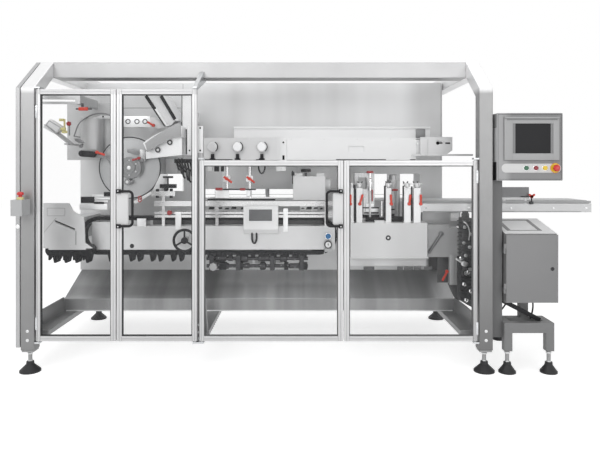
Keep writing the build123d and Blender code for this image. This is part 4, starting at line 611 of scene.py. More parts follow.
class Piece:
    """A mesh under construction, in millimetres, that becomes an object where its with block ends."""

    def __init__(self, name, look_name, slot=None, body="machine"):
        self.name = name
        self.look = look[look_name]
        self.slot = slot or SLOT_OF[look_name]
        self.body = body
        self.mesh = bmesh.new()

    def __enter__(self):
        return self

    def __exit__(self, *_):
        mesh = bpy.data.meshes.new(self.name)
        self.mesh.to_mesh(mesh)
        self.mesh.free()
        for face in mesh.polygons:
            face.use_smooth = True
        mesh.set_sharp_from_angle(angle=math.radians(34))
        mesh.materials.append(self.look)
        made = bpy.data.objects.new(self.name, mesh)
        bpy.context.scene.collection.objects.link(made)
        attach(made, self.body)

    def block(self, x, depth, z, bevel=1.5):
        """A box with bevelled edges between two values on each axis."""
        made = bmesh.ops.create_cube(self.mesh, size=1)["verts"]
        low, high = at(x[0], depth[0], z[0]), at(x[1], depth[1], z[1])
        for vert in made:
            for axis in range(3):
                vert.co[axis] = low[axis] if vert.co[axis] < 0 else high[axis]
        self.soften(made, min(bevel * MM, 0.3 * min(high - low)))

    def photo_block(self, box, depth, bevel=1.5, seen=None):
        """A block that fills a box of pixels, seen at its front or at a depth."""
        x, z = photo_box(box, depth[0] if seen is None else seen)
        self.block(x, depth, z, bevel)

    def row(self, spans, depth, z, bevel):
        """Blocks between pairs of x."""
        for span in spans:
            self.block(span, depth, z, bevel)

    def strips(self, x, z, depth, half, bevel=0.1):
        """Four thin strips along the sides of a rectangle."""
        self.row([(side - half, side + half) for side in x], depth, z, bevel)
        for side in z:
            self.block(x, depth, (side - half, side + half), bevel)

    def rim(self, x, z, depth, wide):
        """A rectangular rim proud of a face."""
        self.block(x, depth, (z[1] - wide, z[1]), 2)
        self.block(x, depth, (z[0], z[0] + wide), 2)
        self.row([(x[0], x[0] + wide), (x[1] - wide, x[1])], depth, (z[0] + wide, z[1] - wide), 2)

    def soften(self, verts, bevel):
        """Bevels the sharp edges of what was just made."""
        if bevel <= 0.0001:
            return
        edges = {edge for vert in verts for edge in vert.link_edges}
        sharp = [edge for edge in edges if edge.is_manifold and edge.calc_face_angle(0) > 0.6]
        bmesh.ops.bevel(self.mesh, geom=sharp, offset=bevel, segments=2, affect="EDGES", profile=0.6)

    def slab(self, outline, depth, bevel=1.2):
        """An outline of x and z points, extruded between two depths."""
        self.sweep([at(x, depth[0], z) for x, z in outline], (0, (depth[1] - depth[0]) * MM, 0), bevel)

    def photo_slab(self, pixels, seen, depth, bevel):
        """A slab whose outline is seen at a depth."""
        self.slab([photo_xz(*pixel, seen) for pixel in pixels], depth, bevel)

    def sheet_along_x(self, outline, x, bevel=1.2):
        """An outline of depth and z points, extruded between two values of x."""
        self.sweep([at(x[0], depth, z) for depth, z in outline], ((x[1] - x[0]) * MM, 0, 0), bevel)

    def sweep(self, points, offset, bevel):
        """Extrudes a polygon and closes it."""
        verts = [self.mesh.verts.new(point) for point in points]
        made = bmesh.ops.extrude_face_region(self.mesh, geom=[self.mesh.faces.new(verts)])["geom"]
        moved = [item for item in made if isinstance(item, bmesh.types.BMVert)]
        bmesh.ops.translate(self.mesh, verts=moved, vec=offset)
        faces = {face for vert in moved + verts for face in vert.link_faces}
        bmesh.ops.recalc_face_normals(self.mesh, faces=list(faces))
        self.soften(moved + verts, bevel * MM)

    def skin(self, rings):
        """Joins rings of points with faces and closes both ends."""
        rings = [[self.mesh.verts.new(point) for point in ring] for ring in rings]
        faces = []
        for first, second in zip(rings, rings[1:]):
            for i in range(max(len(first), len(second))):
                corners = [first[i % len(first)], first[(i + 1) % len(first)],
                           second[(i + 1) % len(second)], second[i % len(second)]]
                corners = list(dict.fromkeys(corners))
                if len(corners) > 2:
                    faces.append(self.mesh.faces.new(corners))
        faces += [self.mesh.faces.new(ring) for ring in (rings[0], rings[-1]) if len(ring) > 2]
        bmesh.ops.recalc_face_normals(self.mesh, faces=faces)

    def turned(self, start, profile, direction=TOWARDS, sides=28, closed=True):
        """A solid of revolution: profile is (distance along, radius) pairs from a start point."""
        axis, across, up = axes(direction)
        if closed:
            profile = [(profile[0][0], 0), *profile, (profile[-1][0], 0)]
        turns = [2 * math.pi * i / sides for i in range(sides)]
        self.skin([[start + axis * reach * MM + (across * math.cos(turn) + up * math.sin(turn)) * radius * MM
                    for turn in (turns if radius else turns[:1])] for reach, radius in profile])

    def rod(self, start, end, radius, chamfer=0.8, sides=20):
        """A round bar with chamfered ends."""
        length = (end - start).length / MM
        chamfer = min(chamfer, radius * 0.5, length * 0.3)
        self.turned(start, [(0, radius - chamfer), (chamfer, radius), (length - chamfer, radius),
                            (length, radius - chamfer)], end - start, sides)

    def ring(self, centre, radius, thick, sides=40, section=10, direction=TOWARDS):
        """A torus."""
        axis, across, up = axes(direction)
        loops = []
        for i in range(sides):
            turn = 2 * math.pi * i / sides
            out = across * math.cos(turn) + up * math.sin(turn)
            loops.append([self.mesh.verts.new(
                centre + out * (radius + thick * math.cos(2 * math.pi * j / section)) * MM
                + axis * thick * math.sin(2 * math.pi * j / section) * MM) for j in range(section)])
        for i in range(sides):
            for j in range(section):
                k, m = (i + 1) % sides, (j + 1) % section
                self.mesh.faces.new([loops[i][j], loops[k][j], loops[k][m], loops[i][m]])

    def tube(self, points, radius, sides=12, rounds=3):
        """A bent round bar through points in metres, its corners rounded."""
        path = [Vector(p) for p in points]
        for _ in range(rounds):
            cut = [path[0]]
            for first, second in zip(path, path[1:]):
                cut += [first.lerp(second, 0.25), first.lerp(second, 0.75)]
            path = cut + [path[-1]]
        across = axes(path[1] - path[0])[1]
        loops = []
        for i, point in enumerate(path):
            way = (path[min(i + 1, len(path) - 1)] - path[max(i - 1, 0)]).normalized()
            across = (across - way * across.dot(way)).normalized()
            up = way.cross(across)
            loops.append([point + (across * math.cos(2 * math.pi * j / sides)
                                   + up * math.sin(2 * math.pi * j / sides)) * radius * MM
                          for j in range(sides)])
        self.skin(loops)

    def screw(self, centre, radius=4.5, head=3.5, direction=TOWARDS):
        """A cap screw's head with its socket."""
        self.turned(centre - Vector(direction) * 0.4 * MM,
                    [(0, radius), (head - 0.6, radius), (head, radius - 0.7), (head, radius * 0.5),
                     (head - 1.8, radius * 0.46)], direction, 18)

    def hex_head(self, centre, radius=7, head=5, direction=TOWARDS):
        """A hexagon head with its washer."""
        axis, washer = Vector(direction), radius * 1.35
        self.turned(centre - axis * 0.3 * MM, [(0, washer), (1.6, washer)], direction, 24)
        profile = [(0, radius), (head - 0.8, radius), (head, radius * 0.86)]
        self.turned(centre + axis * 1.2 * MM, profile, direction, 6)

    def star_knob(self, centre, radius, high=14, lobes=6, direction=TOWARDS):
        """A lobed hand knob."""
        axis, across, up = axes(direction)
        turns = [2 * math.pi * i / (lobes * 8) for i in range(lobes * 8)]
        waist = [1 - 0.14 * (0.5 - 0.5 * math.cos(lobes * turn)) for turn in turns]
        heights = ((0, 0.80), (1.5, 0.94), (high * 0.4, 1.0), (high * 0.8, 0.95), (high, 0.78))
        self.skin([[centre + axis * height * MM
                    + (across * math.cos(turn) + up * math.sin(turn)) * radius * share * size * MM
                    for turn, size in zip(turns, waist)] for height, share in heights])

    def lever(self, hub, way, length, depth):
        """A clamping lever: a hub with a tapering arm that ends round."""
        self.turned(at(hub[0], depth, hub[1]), [(0, 11.5), (10, 11), (14, 8)], sides=20)
        end = Vector(hub) + Vector((math.cos(way), math.sin(way))) * length
        outline = bar_outline(hub, end, 6, -6)
        tip = [math.degrees(way) + turn for turn in range(-90, 91, 30)]
        self.slab([outline[0], outline[3], *arc(*end, 7.4, tip)], (depth - 12, depth - 6), 1.5)

    def photo_lever(self, hub, tip, seen, depth, length=None):
        """A clamping lever from the hub's pixel towards the tip's."""
        hub, tip = photo_xz(*hub, seen), photo_xz(*tip, seen)
        way = math.atan2(tip[1] - hub[1], tip[0] - hub[0])
        self.lever(hub, way, length or math.dist(hub, tip), depth)


def blocks(name, look_name, *rows, slot=None, body="machine"):
    """A piece of blocks: rows of x, depth, height and bevel."""
    with Piece(name, look_name, slot, body) as made:
        for row in rows:
            made.block(*row)


def photo_blocks(name, look_name, boxes, depth, bevel, seen=None):
    """A piece of blocks that fill boxes of pixels between two depths."""
    with Piece(name, look_name) as made:
        for box in boxes:
            made.photo_block(box, depth, bevel, seen)


def slabs(name, look_name, *rows, slot=None):
    """A piece of slabs: rows of outline, depth and bevel."""
    with Piece(name, look_name, slot) as made:
        for row in rows:
            made.slab(*row)


def photo_slabs(name, look_name, seen, *rows):
    """A piece of slabs seen at a depth: rows of pixels, depth and bevel."""
    with Piece(name, look_name) as made:
        for pixels, depth, bevel in rows:
            made.photo_slab(pixels, seen, depth, bevel)


# Guard doors and frame

PROFILE = 30
SIDE_FRAMES = ("left_side_frame", "right_side_frame")


def door_trim(number):
    """Gaskets round the pane, slot covers and corner lines of a door."""
    body = f"guard_door_{number}"
    x, _, z = extent(f"{body}_frame")
    inner_x = (x[0] + PROFILE, x[1] - PROFILE)
    pane = extent(f"{body}_pane")[1]
    with Piece(f"{body}_gasket", "gasket_black" if number < 3 else "gasket_grey", body=body) as gasket:
        for depth in ((pane[0] - 5, pane[0] - 0.2), (pane[1] + 0.2, pane[1] + 5)):
            gasket.rim((inner_x[0] - 1, inner_x[1] + 1), (z[0] + PROFILE - 1, z[1] - PROFILE + 1), depth, 7)
    middle, half, face = PROFILE / 2, 2.2, (-0.6, 0.4)
    with Piece(f"{body}_slot_covers", "slot_grey", body=body) as cover:
        for side in (x[0] + middle, x[1] - middle):
            cover.block((side - half, side + half), face, (z[0] + 4, z[1] - 4), 0.4)
        for side in (z[0] + middle, z[1] - middle):
            cover.block((inner_x[0] + 3, inner_x[1] - 3), face, (side - half, side + half), 0.4)
    with Piece(f"{body}_corner_lines", "bore_dark", body=body) as joints:
        for side in inner_x:
            for low in (z[0] + 0.5, z[1] - PROFILE + 0.5):
                joints.block((side - 0.5, side + 0.5), (-0.5, 0.4), (low, low + PROFILE - 1), 0.1)


def handle_plates():
    """The light plate over each lock, inside the bow handle, and the handle's screws."""
    for number, way, reach in ((2, 1, 58), (3, -1, 48)):
        body = f"guard_door_{number}"
        x, depth, z = extent(f"{body}_handle")
        stile = x[0] + 14 if way > 0 else x[1] - 14
        left, right = sorted((stile - way * 14.5, stile + way * reach))
        low, high = z[0] + 19, z[1] - 21
        with Piece(f"{body}_handle_plate", "unit_grey", body=body) as plate:
            plate.slab(cut_corners((left, right), (low, high), 8), (-8.5, -0.4), 2)
            plate.slab(cut_corners((left + 3, right - 3), (low + 3, high - 3), 8), (-9.6, -8), 1)
        with Piece(f"{body}_handle_screws", "zinc", body=body) as screws:
            for height in (z[0] + 10, z[1] - 10):
                screws.screw(at(stile, depth[0], height), 4, 3)


def hinge_leaves():
    """Light hinge leaves in the gap beside the outer doors."""
    for number, end, side in ((1, 0, 1), (4, 1, -1)):
        x, _, z = extent(f"guard_door_{number}_frame")
        with Piece(f"guard_door_{number}_hinge_leaves", "hinge_steel", body=f"guard_door_{number}") as leaf:
            for share in (0.07, 0.91):
                middle = z[0] + (z[1] - z[0]) * share
                span = sorted((x[end] + side * 1.5, x[end] + side * 15))
                leaf.block(span, (-3, 0.5), (middle - 38, middle + 38), 1)
                for offset in (-26, 0, 26):
                    leaf.screw(at(x[end] + side * 8.5, -3, middle + offset), 3.2, 1.8)


def frame_fittings():
    """Bolts on the posts and the mullion, and the left guard's screws and lock."""
    with Piece("frame_bolts", "zinc") as bolts:
        for name in SIDE_FRAMES:
            x, depth, z = extent(name)
            for height in (z[0] + 60, z[0] + 115):
                bolts.hex_head(at(sum(x) / 2, 0, height))
                bolts.hex_head(at(sum(x) / 2, depth[1], height), direction=AWAY)
        for height in (240, 900, 1500):
            for place in (40, depth[1] - 40):
                bolts.hex_head(at(x[1], place, height), direction=RIGHT)
    x, depth, z = extent("left_end_guard")
    with Piece("left_guard_screws", "zinc") as screws:
        for height in (200, 520, 840, 1160, 1480):
            for place in (16, depth[1] - 16):
                screws.screw(at(x[0], place, height), 5, 3, LEFT)
    with Piece("left_guard_lock", "chrome") as lock:
        lock.turned(at(x[0] + 14, 0.5, 882), [(0, 13), (5, 13), (7, 11), (7, 6), (12, 5), (13, 3)])
    x, depth, z = extent("door_mullion")
    with Piece("mullion_bolts", "zinc") as bolts:
        for height in (z[0] + 30, z[0] + 75, z[1] - 25):
            bolts.hex_head(at(sum(x) / 2 + 12, depth[0], height), 5.5, 4)


# Operator's panel, service column and stand


def operator_cabinet():
    """The screen's bezel and glass, the button strip, collars, door seam, brackets and hinge."""
    x, depth, z = extent("hmi_cabinet")
    screen_x, screen_depth, screen_z = extent("hmi_screen")
    front, face = depth[0], screen_depth[0]
    glass_x, glass_z = (1122, 1364), (1320, 1498)
    rim_x, rim_z = (screen_x[0] - 1, screen_x[1] + 1), (screen_z[0] - 1, screen_z[1] + 1)
    proud, lip = (face - 4, face + 0.5), (face - 2.5, face + 0.5)
    blocks("screen_bezel", "bezel_grey",
           ((rim_x[0], glass_x[0]), proud, rim_z, 1.5), ((glass_x[1], rim_x[1]), proud, rim_z, 1.5),
           (glass_x, proud, (rim_z[0], glass_z[0]), 1.5), (glass_x, proud, (glass_z[1], rim_z[1]), 1.5),
           (rim_x, (face - 11, face - 3), (screen_z[1] - 8, rim_z[1]), 2))
    blocks("screen_lip", "dark_grey",
           ((glass_x[0] - 0.5, glass_x[0] + 17), lip, glass_z, 0.8),
           ((glass_x[1] - 17, glass_x[1] + 0.5), lip, glass_z, 0.8),
           ((screen_x[0] + 14, screen_x[1] - 10), (face - 5.2, face - 3),
            (screen_z[1] - 19, screen_z[1] - 11), 0.5),
           ((screen_x[0] - 3, screen_x[1] + 3), (face + 3, face + 6.2), (screen_z[0] - 4, screen_z[0]), 0.5))
    blocks("screen_glass", "screen_glass",
           ((glass_x[0] + 16, glass_x[1] - 16), (face - 3.2, face + 0.5), glass_z, 0.8))
    radius, middle = 27, 1232
    outline = [*arc(x[1] - 10 - radius, middle, radius, RIGHT_HALF),
               *arc(x[0] + 28 + radius, middle, radius, LEFT_HALF)]
    slabs("button_strip", "strip_white", (outline, (front - 2.5, front + 0.5), 0.8))
    with Piece("button_collars", "chrome") as collars:
        for place in (1204, 1262, 1316):
            collars.ring(at(place, front - 3, 1233), 14.5, 2.4)
    with Piece("stop_collar", "button_yellow") as stop:
        stop.turned(at(1378, front + 0.5, 1233), [(0, 30), (3, 30), (5, 28), (5, 16), (8, 15)], sides=40)
    with Piece("cabinet_door_seam", "bore_dark") as seam:
        seam.strips((x[0] + 8, x[1] - 8), (z[0] + 8, z[1] - 8), (front - 0.3, front + 0.4), 0.8)
    column = extent("service_column")[1]
    with Piece("cabinet_brackets", "black_plastic") as bracket:
        bracket.block((x[0] - 9, x[0] + 0.5), (column[0] + 4, column[1] - 4), (z[0] - 60, z[0] + 100), 3)
        bracket.block((x[0] - 3.5, x[0] + 0.5), (front + 6, column[0] + 5), (z[0] + 2, z[0] + 110), 1.5)
        for height in (z[0] + 24, z[0] + 62):
            bracket.hex_head(at(x[0] - 8.6, sum(column) / 2, height), 6, 4, LEFT)
    beside = (front + 5, column[1])
    blocks("cabinet_side_strip", "box_grey", ((x[0] - 3, x[0] + 0.4), beside, (z[0] + 111, z[1] - 86), 1.2))
    blocks("cabinet_side_hinge", "dark_grey", ((x[0] - 4, x[0] + 0.4), beside, (z[1] - 84, z[1] - 6), 1.2))


def stand_fittings():
    """Door lock and panel, lid with its frame, brace, conduits and foot nuts of the stand."""
    x, _, z = extent("stand_cabinet")
    door_x, _, door_z = extent("stand_cabinet_door")
    door = "stand_cabinet_door"
    with Piece("cabinet_lock", "dark_steel", "hinge_steel", door) as lock:
        lock.turned(at(1371, 3.4, 627), [(0, 12), (4, 12), (5.5, 10), (5.5, 4), (4, 3.6)])
    blocks("cabinet_door_panel", "cabinet_grey",
           ((door_x[0] + 14, door_x[1] - 8), (-0.6, 3.4), (door_z[0] + 8, door_z[1] - 8), 2), body=door)
    front, back = Vector((20, door_z[1] + 4)), Vector((320, z[1]))
    left, right = x[0] + 12, x[1]

    def on_lid(start, end, near, far):
        """The outline of a sheet on the sloping lid, between two shares and two lifts."""
        ends = [(front.lerp(back, share), lift) for share, lift in
                ((start, near), (end, near), (end, far), (start, far))]
        return [(point.x, point.y + lift) for point, lift in ends]

    with Piece("cabinet_lid", "lid_grey") as lid:
        lid.sheet_along_x(on_lid(0, 1, 0, 3), (left, right), 1)
    with Piece("cabinet_lid_frame", "dark_grey") as rim:
        for start, end, span in ((0.16, 0.19, (left + 30, right - 70)), (0.84, 0.90, (left + 30, right - 70)),
                                 (0.18, 0.86, (left + 30, left + 54)), (0.18, 0.86, (right - 92, right - 70))):
            rim.sheet_along_x(on_lid(start, end, 2, 5), span, 1)
    slabs("stand_brace", "black_plastic", (bar_outline((1096, 421), (1322, 305), 13, -13), (62, 92), 2))
    with Piece("stand_conduits", "black_plastic") as tubes:
        tubes.tube([at(1128, 100, 421), at(1126, 100, 396), at(1112, 104, 372), at(1100, 118, 350),
                    at(1100, 140, 302)], 5)
        tubes.tube([at(1290, 100, 421), at(1294, 100, 380), at(1288, 100, 340), at(1280, 110, 302)], 5)
    places = [(1107, 24, 125), (1358, 24, 125), (1284, 710, 125)]
    for name in SIDE_FRAMES:
        side, depth, _ = extent(name)
        places += [(sum(side) / 2, 40, 116), (sum(side) / 2, depth[1] - 40, 116)]
    with Piece("foot_nuts", "zinc") as nuts:
        for x, depth, z in places:
            for height, wide in ((z - 10, 17), (62, 15)):
                nut = [(0, 9.2), (0, wide - 2), (1.5, wide), (8.5, wide), (10, wide - 2), (10, 9.2)]
                nuts.turned(at(x, depth, height), nut, UP, 6, closed=False)


# Feeder, magazine and the upper left

disc_x, disc_depth, disc_z = extent("feeder_disc")
DISC_X, DISC_Z = sum(disc_x) / 2, sum(disc_z) / 2


def feeder_details():
    """The disc's rim, hub rings and bolts."""
    with Piece("disc_rim", "gasket_black", body="feeder_disc") as rim:
        rim.ring(at(DISC_X, 514, DISC_Z), (disc_x[1] - disc_x[0]) / 2 - 3.8, 3.8, 96, 8)
    with Piece("disc_hub_ring", "hub_grey", body="feeder_disc") as hub:
        hub.ring(at(DISC_X, disc_depth[0] + 10, DISC_Z), 60, 2.6, 56, 8)
        hub.ring(at(DISC_X, disc_depth[0] + 1, DISC_Z), 34, 2.0, 48, 8)
    with Piece("disc_hub_bolts", "zinc", body="feeder_disc") as bolts:
        for x, z in arc(DISC_X, DISC_Z, 51, range(30, 360, 60)):
            bolts.screw(at(x, 500, z), 5, 4)
        bolts.turned(at(DISC_X, disc_depth[0] + 0.3, DISC_Z), [(0, 13), (3, 13), (4, 11), (4, 5), (2.5, 4.6)])


def lever_details():
    """Red clamping levers on the adjuster columns."""
    ends = ((350.5, 350.5), (360, 362.5), (391.5, 391), (409.5, 410.5), (421, 421))
    hub_row, tip_row = 204, 195.5
    with Piece("column_levers", "lever_red") as levers:
        for hub, tip in ends:
            levers.photo_lever((hub, hub_row), (tip, tip_row), 300, 311)


def upper_left_details():
    """Clamp, belt loop, slot plate, roller plates and chute between the feeder and the left end."""
    clamp_ends = (77.5, 91.5)
    left, right = (photo_x(column, 300) for column in clamp_ends)
    blocks("feeder_clamp", "lever_red", ((left + 12, right - 18), (282, 296), (1604, 1626), 3))
    with Piece("feeder_clamp_spindle", "dark_steel") as spindle:
        spindle.rod(at(left - 6, 289, 1615), at(right + 6, 289, 1615), 5)
        spindle.block((left + 20, left + 34), (289, 322), (1608, 1622), 2)
        spindle.block((left + 20, left + 34), (308, 322), (1608, 1654), 2)
    loop_ends = ((82, 153.5), (93.5, 154.5))
    start, end = (photo_xz(*pixel, 440) for pixel in loop_ends)
    with Piece("feeder_belt_loop", "black_plastic") as loop:
        for x, z in (start, end):
            loop.rod(at(x, 420, z), at(x, 560, z), 15)
        loop.slab([*arc(*start, 21, LEFT_HALF), *arc(*end, 21, RIGHT_HALF)], (428, 452), 2)
    plate_box = (123, 150, 116, 127)
    (left, right), (low, high) = photo_box(plate_box, 600)
    with Piece("slot_plate", "plate_aluminium") as plate:
        plate.photo_block(plate_box, (600, 610), 2)
        for share in (0.2, 0.8):
            x = left + (right - left) * share
            plate.rod(at(x, 610, (low + high) / 2), at(x, 900, (low + high) / 2), 12)
    ring_pixels = ((128, 121.5), (137, 121.5), (145, 121.5))
    with Piece("slot_plate_rings", "gasket_black") as rings:
        for pixel in ring_pixels:
            rings.ring(photo_at(pixel, 600, 599), 15, 3)
    roller_places = ((-1105, 1354), (-1024, 1405))
    with Piece("roller_plate_rings", "gasket_black") as rings:
        for x, z in roller_places:
            rings.ring(at(x, 466, z), 14.2, 4.8)
    with Piece("roller_plate_faces", "dial_white") as faces:
        for x, z in roller_places:
            faces.turned(at(x, 466.4, z), [(0, 9.5), (3, 9)], sides=24)
    with Piece("chute_belts", "black_plastic") as belts:
        for start, end, share in (((-1219, 1742), (-1072, 1521), 0.46), ((-1114, 1742), (-1005, 1560), 1)):
            start, end = Vector(start), Vector(end)
            way = (end - start).normalized()
            start, end = start + way * 14, end - way * 8
            belts.slab(bar_outline(start, end, -1, -9), (556, 896), 1.5)
            belts.slab(bar_outline(start, start.lerp(end, share), 0, 14), (555, 560.5), 1)
    liner = [(-1205, 1740), (-1112, 1740), (-1006, 1563), (-1034, 1530), (-1058, 1523)]
    slabs("chute_liner", "cover_white", (liner, (570, 576), 1))


def magazine_details():
    """Bracket plates with screws, the dark edge of the magazine and the brush of fingers."""
    plate_boxes = (((187.3, 192.2, 126, 153), 79), ((197.4, 203, 126, 153), 39))
    with Piece("bracket_plates", "cover_white") as plates:
        for box, front in plate_boxes:
            plates.photo_block(box, (front, front + 6.4), 2)
    blocks("magazine_edge", "gasket_black", ((-962, -957), (556, 562), (1330, 1736), 1),
           ((-934, -924), (558.6, 561), (1325, 1500), 0.6))
    screw_pixels = (((189.5, 150.5), 79), ((200.2, 150.5), 39), ((200.2, 128), 39))
    with Piece("bracket_plate_screws", "dark_steel", "hinge_steel") as screws:
        for pixel, front in screw_pixels:
            screws.screw(photo_at(pixel, front, front + 0.2), 5.5, 3)
    fingers = ((175, 160, 178, 168), (178, 159, 181, 172), (181, 159, 183, 176), (184, 160, 187, 178),
               (187, 160, 189, 180), (190, 161, 191, 175), (177, 164, 184, 170), (183, 166, 192, 172))
    brush_back = (174.5, 192, 159, 163)
    with Piece("finger_brush", "black_plastic") as brush:
        for i, (px, py, qx, qy) in enumerate(fingers):
            depth = 545 - 9 * (i % 3)
            x, z = photo_xz(px, py, depth)
            end_x, end_z = photo_xz(qx, qy, depth)
            brush.tube([at(x, 562, z), at(x, depth, z - 8), at((x + end_x) / 2 + 8, depth, (z + end_z) / 2),
                        at(end_x, depth + 4, end_z), at(end_x + 6, 564, end_z - 14)], 6.5)
        brush.photo_block(brush_back, (548, 561), 3, 556)


# Tool rail


def tool_rail_details():
    """Knob rims and stems, the strap's fittings, the bracket's openings and the edge screws."""
    with Piece("knob_shadows", "hub_grey") as shadows, Piece("knob_rims", "black_plastic") as rims:
        for x in (-724, -558, -396):
            shadows.turned(at(x, 399.5, 1372), [(0, 33), (2, 33)], sides=36)
            rims.slab([*arc(x, 1372, 38.5, range(-52, 62, 8)), *arc(x, 1372, 33, range(58, -60, -8))],
                      (372, 384), 0.6)
            rims.block((x - 11, x + 11), (388, 400.4), (1286, 1326), 2)
            rims.block((x - 19, x + 19), (392, 400.4), (1286, 1296), 2)
    with Piece("strap_fittings", "bore_dark") as strap:
        strap.block((-259, -245), (391, 392.5), (1286, 1316), 0.5)
        strap.screw(at(-253, 392, 1402), 6, 3)
    with Piece("bracket_openings", "bore_dark") as openings:
        openings.turned(at(773, 389, 1397), [(0, 11), (1.8, 11)], sides=24)
        openings.block((773, 805), (387.2, 388.4), (1393, 1402), 0.4)
        openings.block((824, 856), (387.2, 388.4), (1392, 1402), 0.4)
    with Piece("tool_rail_screws", "zinc") as screws:
        for x in (-770, -620, -480, -320, -200, 20, 240, 460, 612):
            screws.screw(at(x, 400, 1424), 3.4, 2)
        screws.screw(at(640, 388, 1392), 5, 3)
        screws.screw(at(640, 388, 1330), 4, 3)


# Bed, panel and clamps


def bed_details():
    """The panel's screen, frame and handle, the gauge and a grey block of painted shadow under it, plug and
    plates.
    """
    x, depth, z = extent("display_panel")
    face = depth[0] - 1.5
    screen_box = (249, 272, 209.5, 221)
    (left, right), (low, high) = photo_box(screen_box, face)
    photo_blocks("panel_screen", "lcd_grey", [screen_box], (face, face + 3), 0.6)
    with Piece("panel_frame", "panel_white") as rim:
        rim.rim((left - 8, right + 8), (low - 8, high + 8), (face - 3, face + 3), 8)
    x, depth, z = extent("pressure_gauge")
    middle, height = sum(x) / 2, sum(z) / 2
    with Piece("gauge_dial", "dial_white") as dial:
        dial.turned(at(middle, depth[0] + 4, height), [(0, 19), (4.6, 19), (5, 18.5)], sides=36)
    with Piece("gauge_needle", "bore_dark", "gauge") as needle:
        face = depth[0] - 0.9
        needle.block((middle - 1.2, middle + 1.2), (face - 1.1, face), (height - 4, height + 13), 0.3)
        needle.turned(at(middle, face, height), [(0, 3), (1.6, 3)], sides=16)
    with Piece("button_rim", "chrome") as blue:
        blue.ring(at(46, 411, 775), 20, 2.2)
    plug_pixel = (132, 246)
    with Piece("bed_plug", "black_plastic") as plug:
        plug.turned(photo_at(plug_pixel, 430, 431), [(0, 14), (4, 14), (7, 11), (7, 5), (4, 4)])
    plate_boxes = ((137, 146, 218.5, 226.5), (175.2, 181.2, 212, 229.5), (283.2, 288, 208.5, 232))
    with Piece("bed_plates", "plate_aluminium") as plates:
        for box, deep in zip(plate_boxes, (426, 424, 424)):
            plates.photo_block(box, (deep, 434), 2)
    # A grey block under the gauge: painted shadow
    blocks("gauge_shadow_block", "box_grey",
           ((x[0] + 1, x[1] - 1), (depth[0] + 1, depth[1] - 2), (z[0] - 22, z[0] + 1), 2))
    handle_pixels = ((252, 234), (254.3, 244), (256.5, 234))
    (left, _), (middle, low), (right, _) = (photo_xz(*pixel, 405) for pixel in handle_pixels)
    with Piece("panel_handle", "black_plastic") as handle:
        handle.tube([at(left, 405, 800), at(left, 405, low + 20), at(middle, 406, low),
                     at(right, 405, low + 20), at(right, 405, 800)], 6)


def rear_details():
    """Door seams, louvres, hinges and locks on the rear cabinets."""
    x, depth, _ = extent("electrical_cabinet")
    back, panels = depth[1], 4
    pitch = (x[1] - x[0]) / panels
    doors = [(x[0] + pitch * i + 12, x[0] + pitch * (i + 1) - 12) for i in range(panels)]
    cabinet, housing = extent("electrical_cabinet")[2], extent("drive_housing")[2]
    with Piece("rear_seams", "bore_dark") as seam:
        for low, high in (cabinet, housing):
            for door in doors:
                seam.strips(door, (low + 16, high - 16), (back - 0.4, back + 0.4), 1.2)
    with Piece("rear_louvres", "dark_grey", "housing_paint") as vents:
        for left, right in doors:
            middle = (left + right) / 2
            for start, rows in ((cabinet[1] - 330, 8), (housing[0] + 90, 10)):
                for row in range(rows):
                    place = start + row * 22
                    vents.sheet_along_x([(back - 0.5, place), (back + 7, place), (back - 0.5, place + 12)],
                                        (middle - 110, middle + 110), 0.8)
    lock_profile = [(0, 14), (4, 14), (6, 12), (6, 5), (4, 4.5)]
    with Piece("rear_hinges", "zinc") as hinges, Piece("rear_locks", "dark_steel", "hinge_steel") as locks:
        for left, right in doors:
            for low, high in (cabinet, housing):
                for share in (0.25, 0.75):
                    z = low + (high - low) * share
                    locks.turned(at(right - 30, back - 0.4, z), lock_profile, AWAY)
                    hinges.rod(at(left - 2, back + 4, z - 30), at(left - 2, back + 4, z + 30), 6)
                    hinges.block((left + 2, left + 26), (back - 0.4, back + 3), (z - 26, z + 26), 1.2)


def conveyor_details():
    """Bolts, edge strips and the guide's clamp of the discharge conveyor."""
    x = extent("discharge_conveyor")[0]
    with Piece("conveyor_screws", "zinc") as screws:
        for place in (720, 1010, 1300, 1590, 1815):
            screws.hex_head(at(place, 500, 958), 6, 5)
            screws.hex_head(at(place, 800, 958), 6, 5, AWAY)
    blocks("conveyor_edges", "box_grey", ((x[0] + 20, x[1] - 4), (498.6, 501), (992, 1007), 0.8),
           ((x[0] + 20, x[1] - 70), (499, 530), (930, 937), 1))
    clamp_pixel = (531.5, 196.5)
    x, z = photo_xz(*clamp_pixel, 490)
    with Piece("guide_clamp", "lever_red") as clamp:
        clamp.lever((x, z), math.radians(38), 19, 492)
        clamp.lever((x, z), math.radians(142), 19, 492)
    with Piece("guide_clamp_stem", "dark_steel") as stem:
        stem.rod(at(x, 488, z - 2), at(x, 488, 1000), 4.5)
        stem.block((x - 12, x + 12), (484, 503), (985, 1002), 2)
        stem.rod(at(x - 70, 492, z - 2), at(x, 492, z - 2), 4)


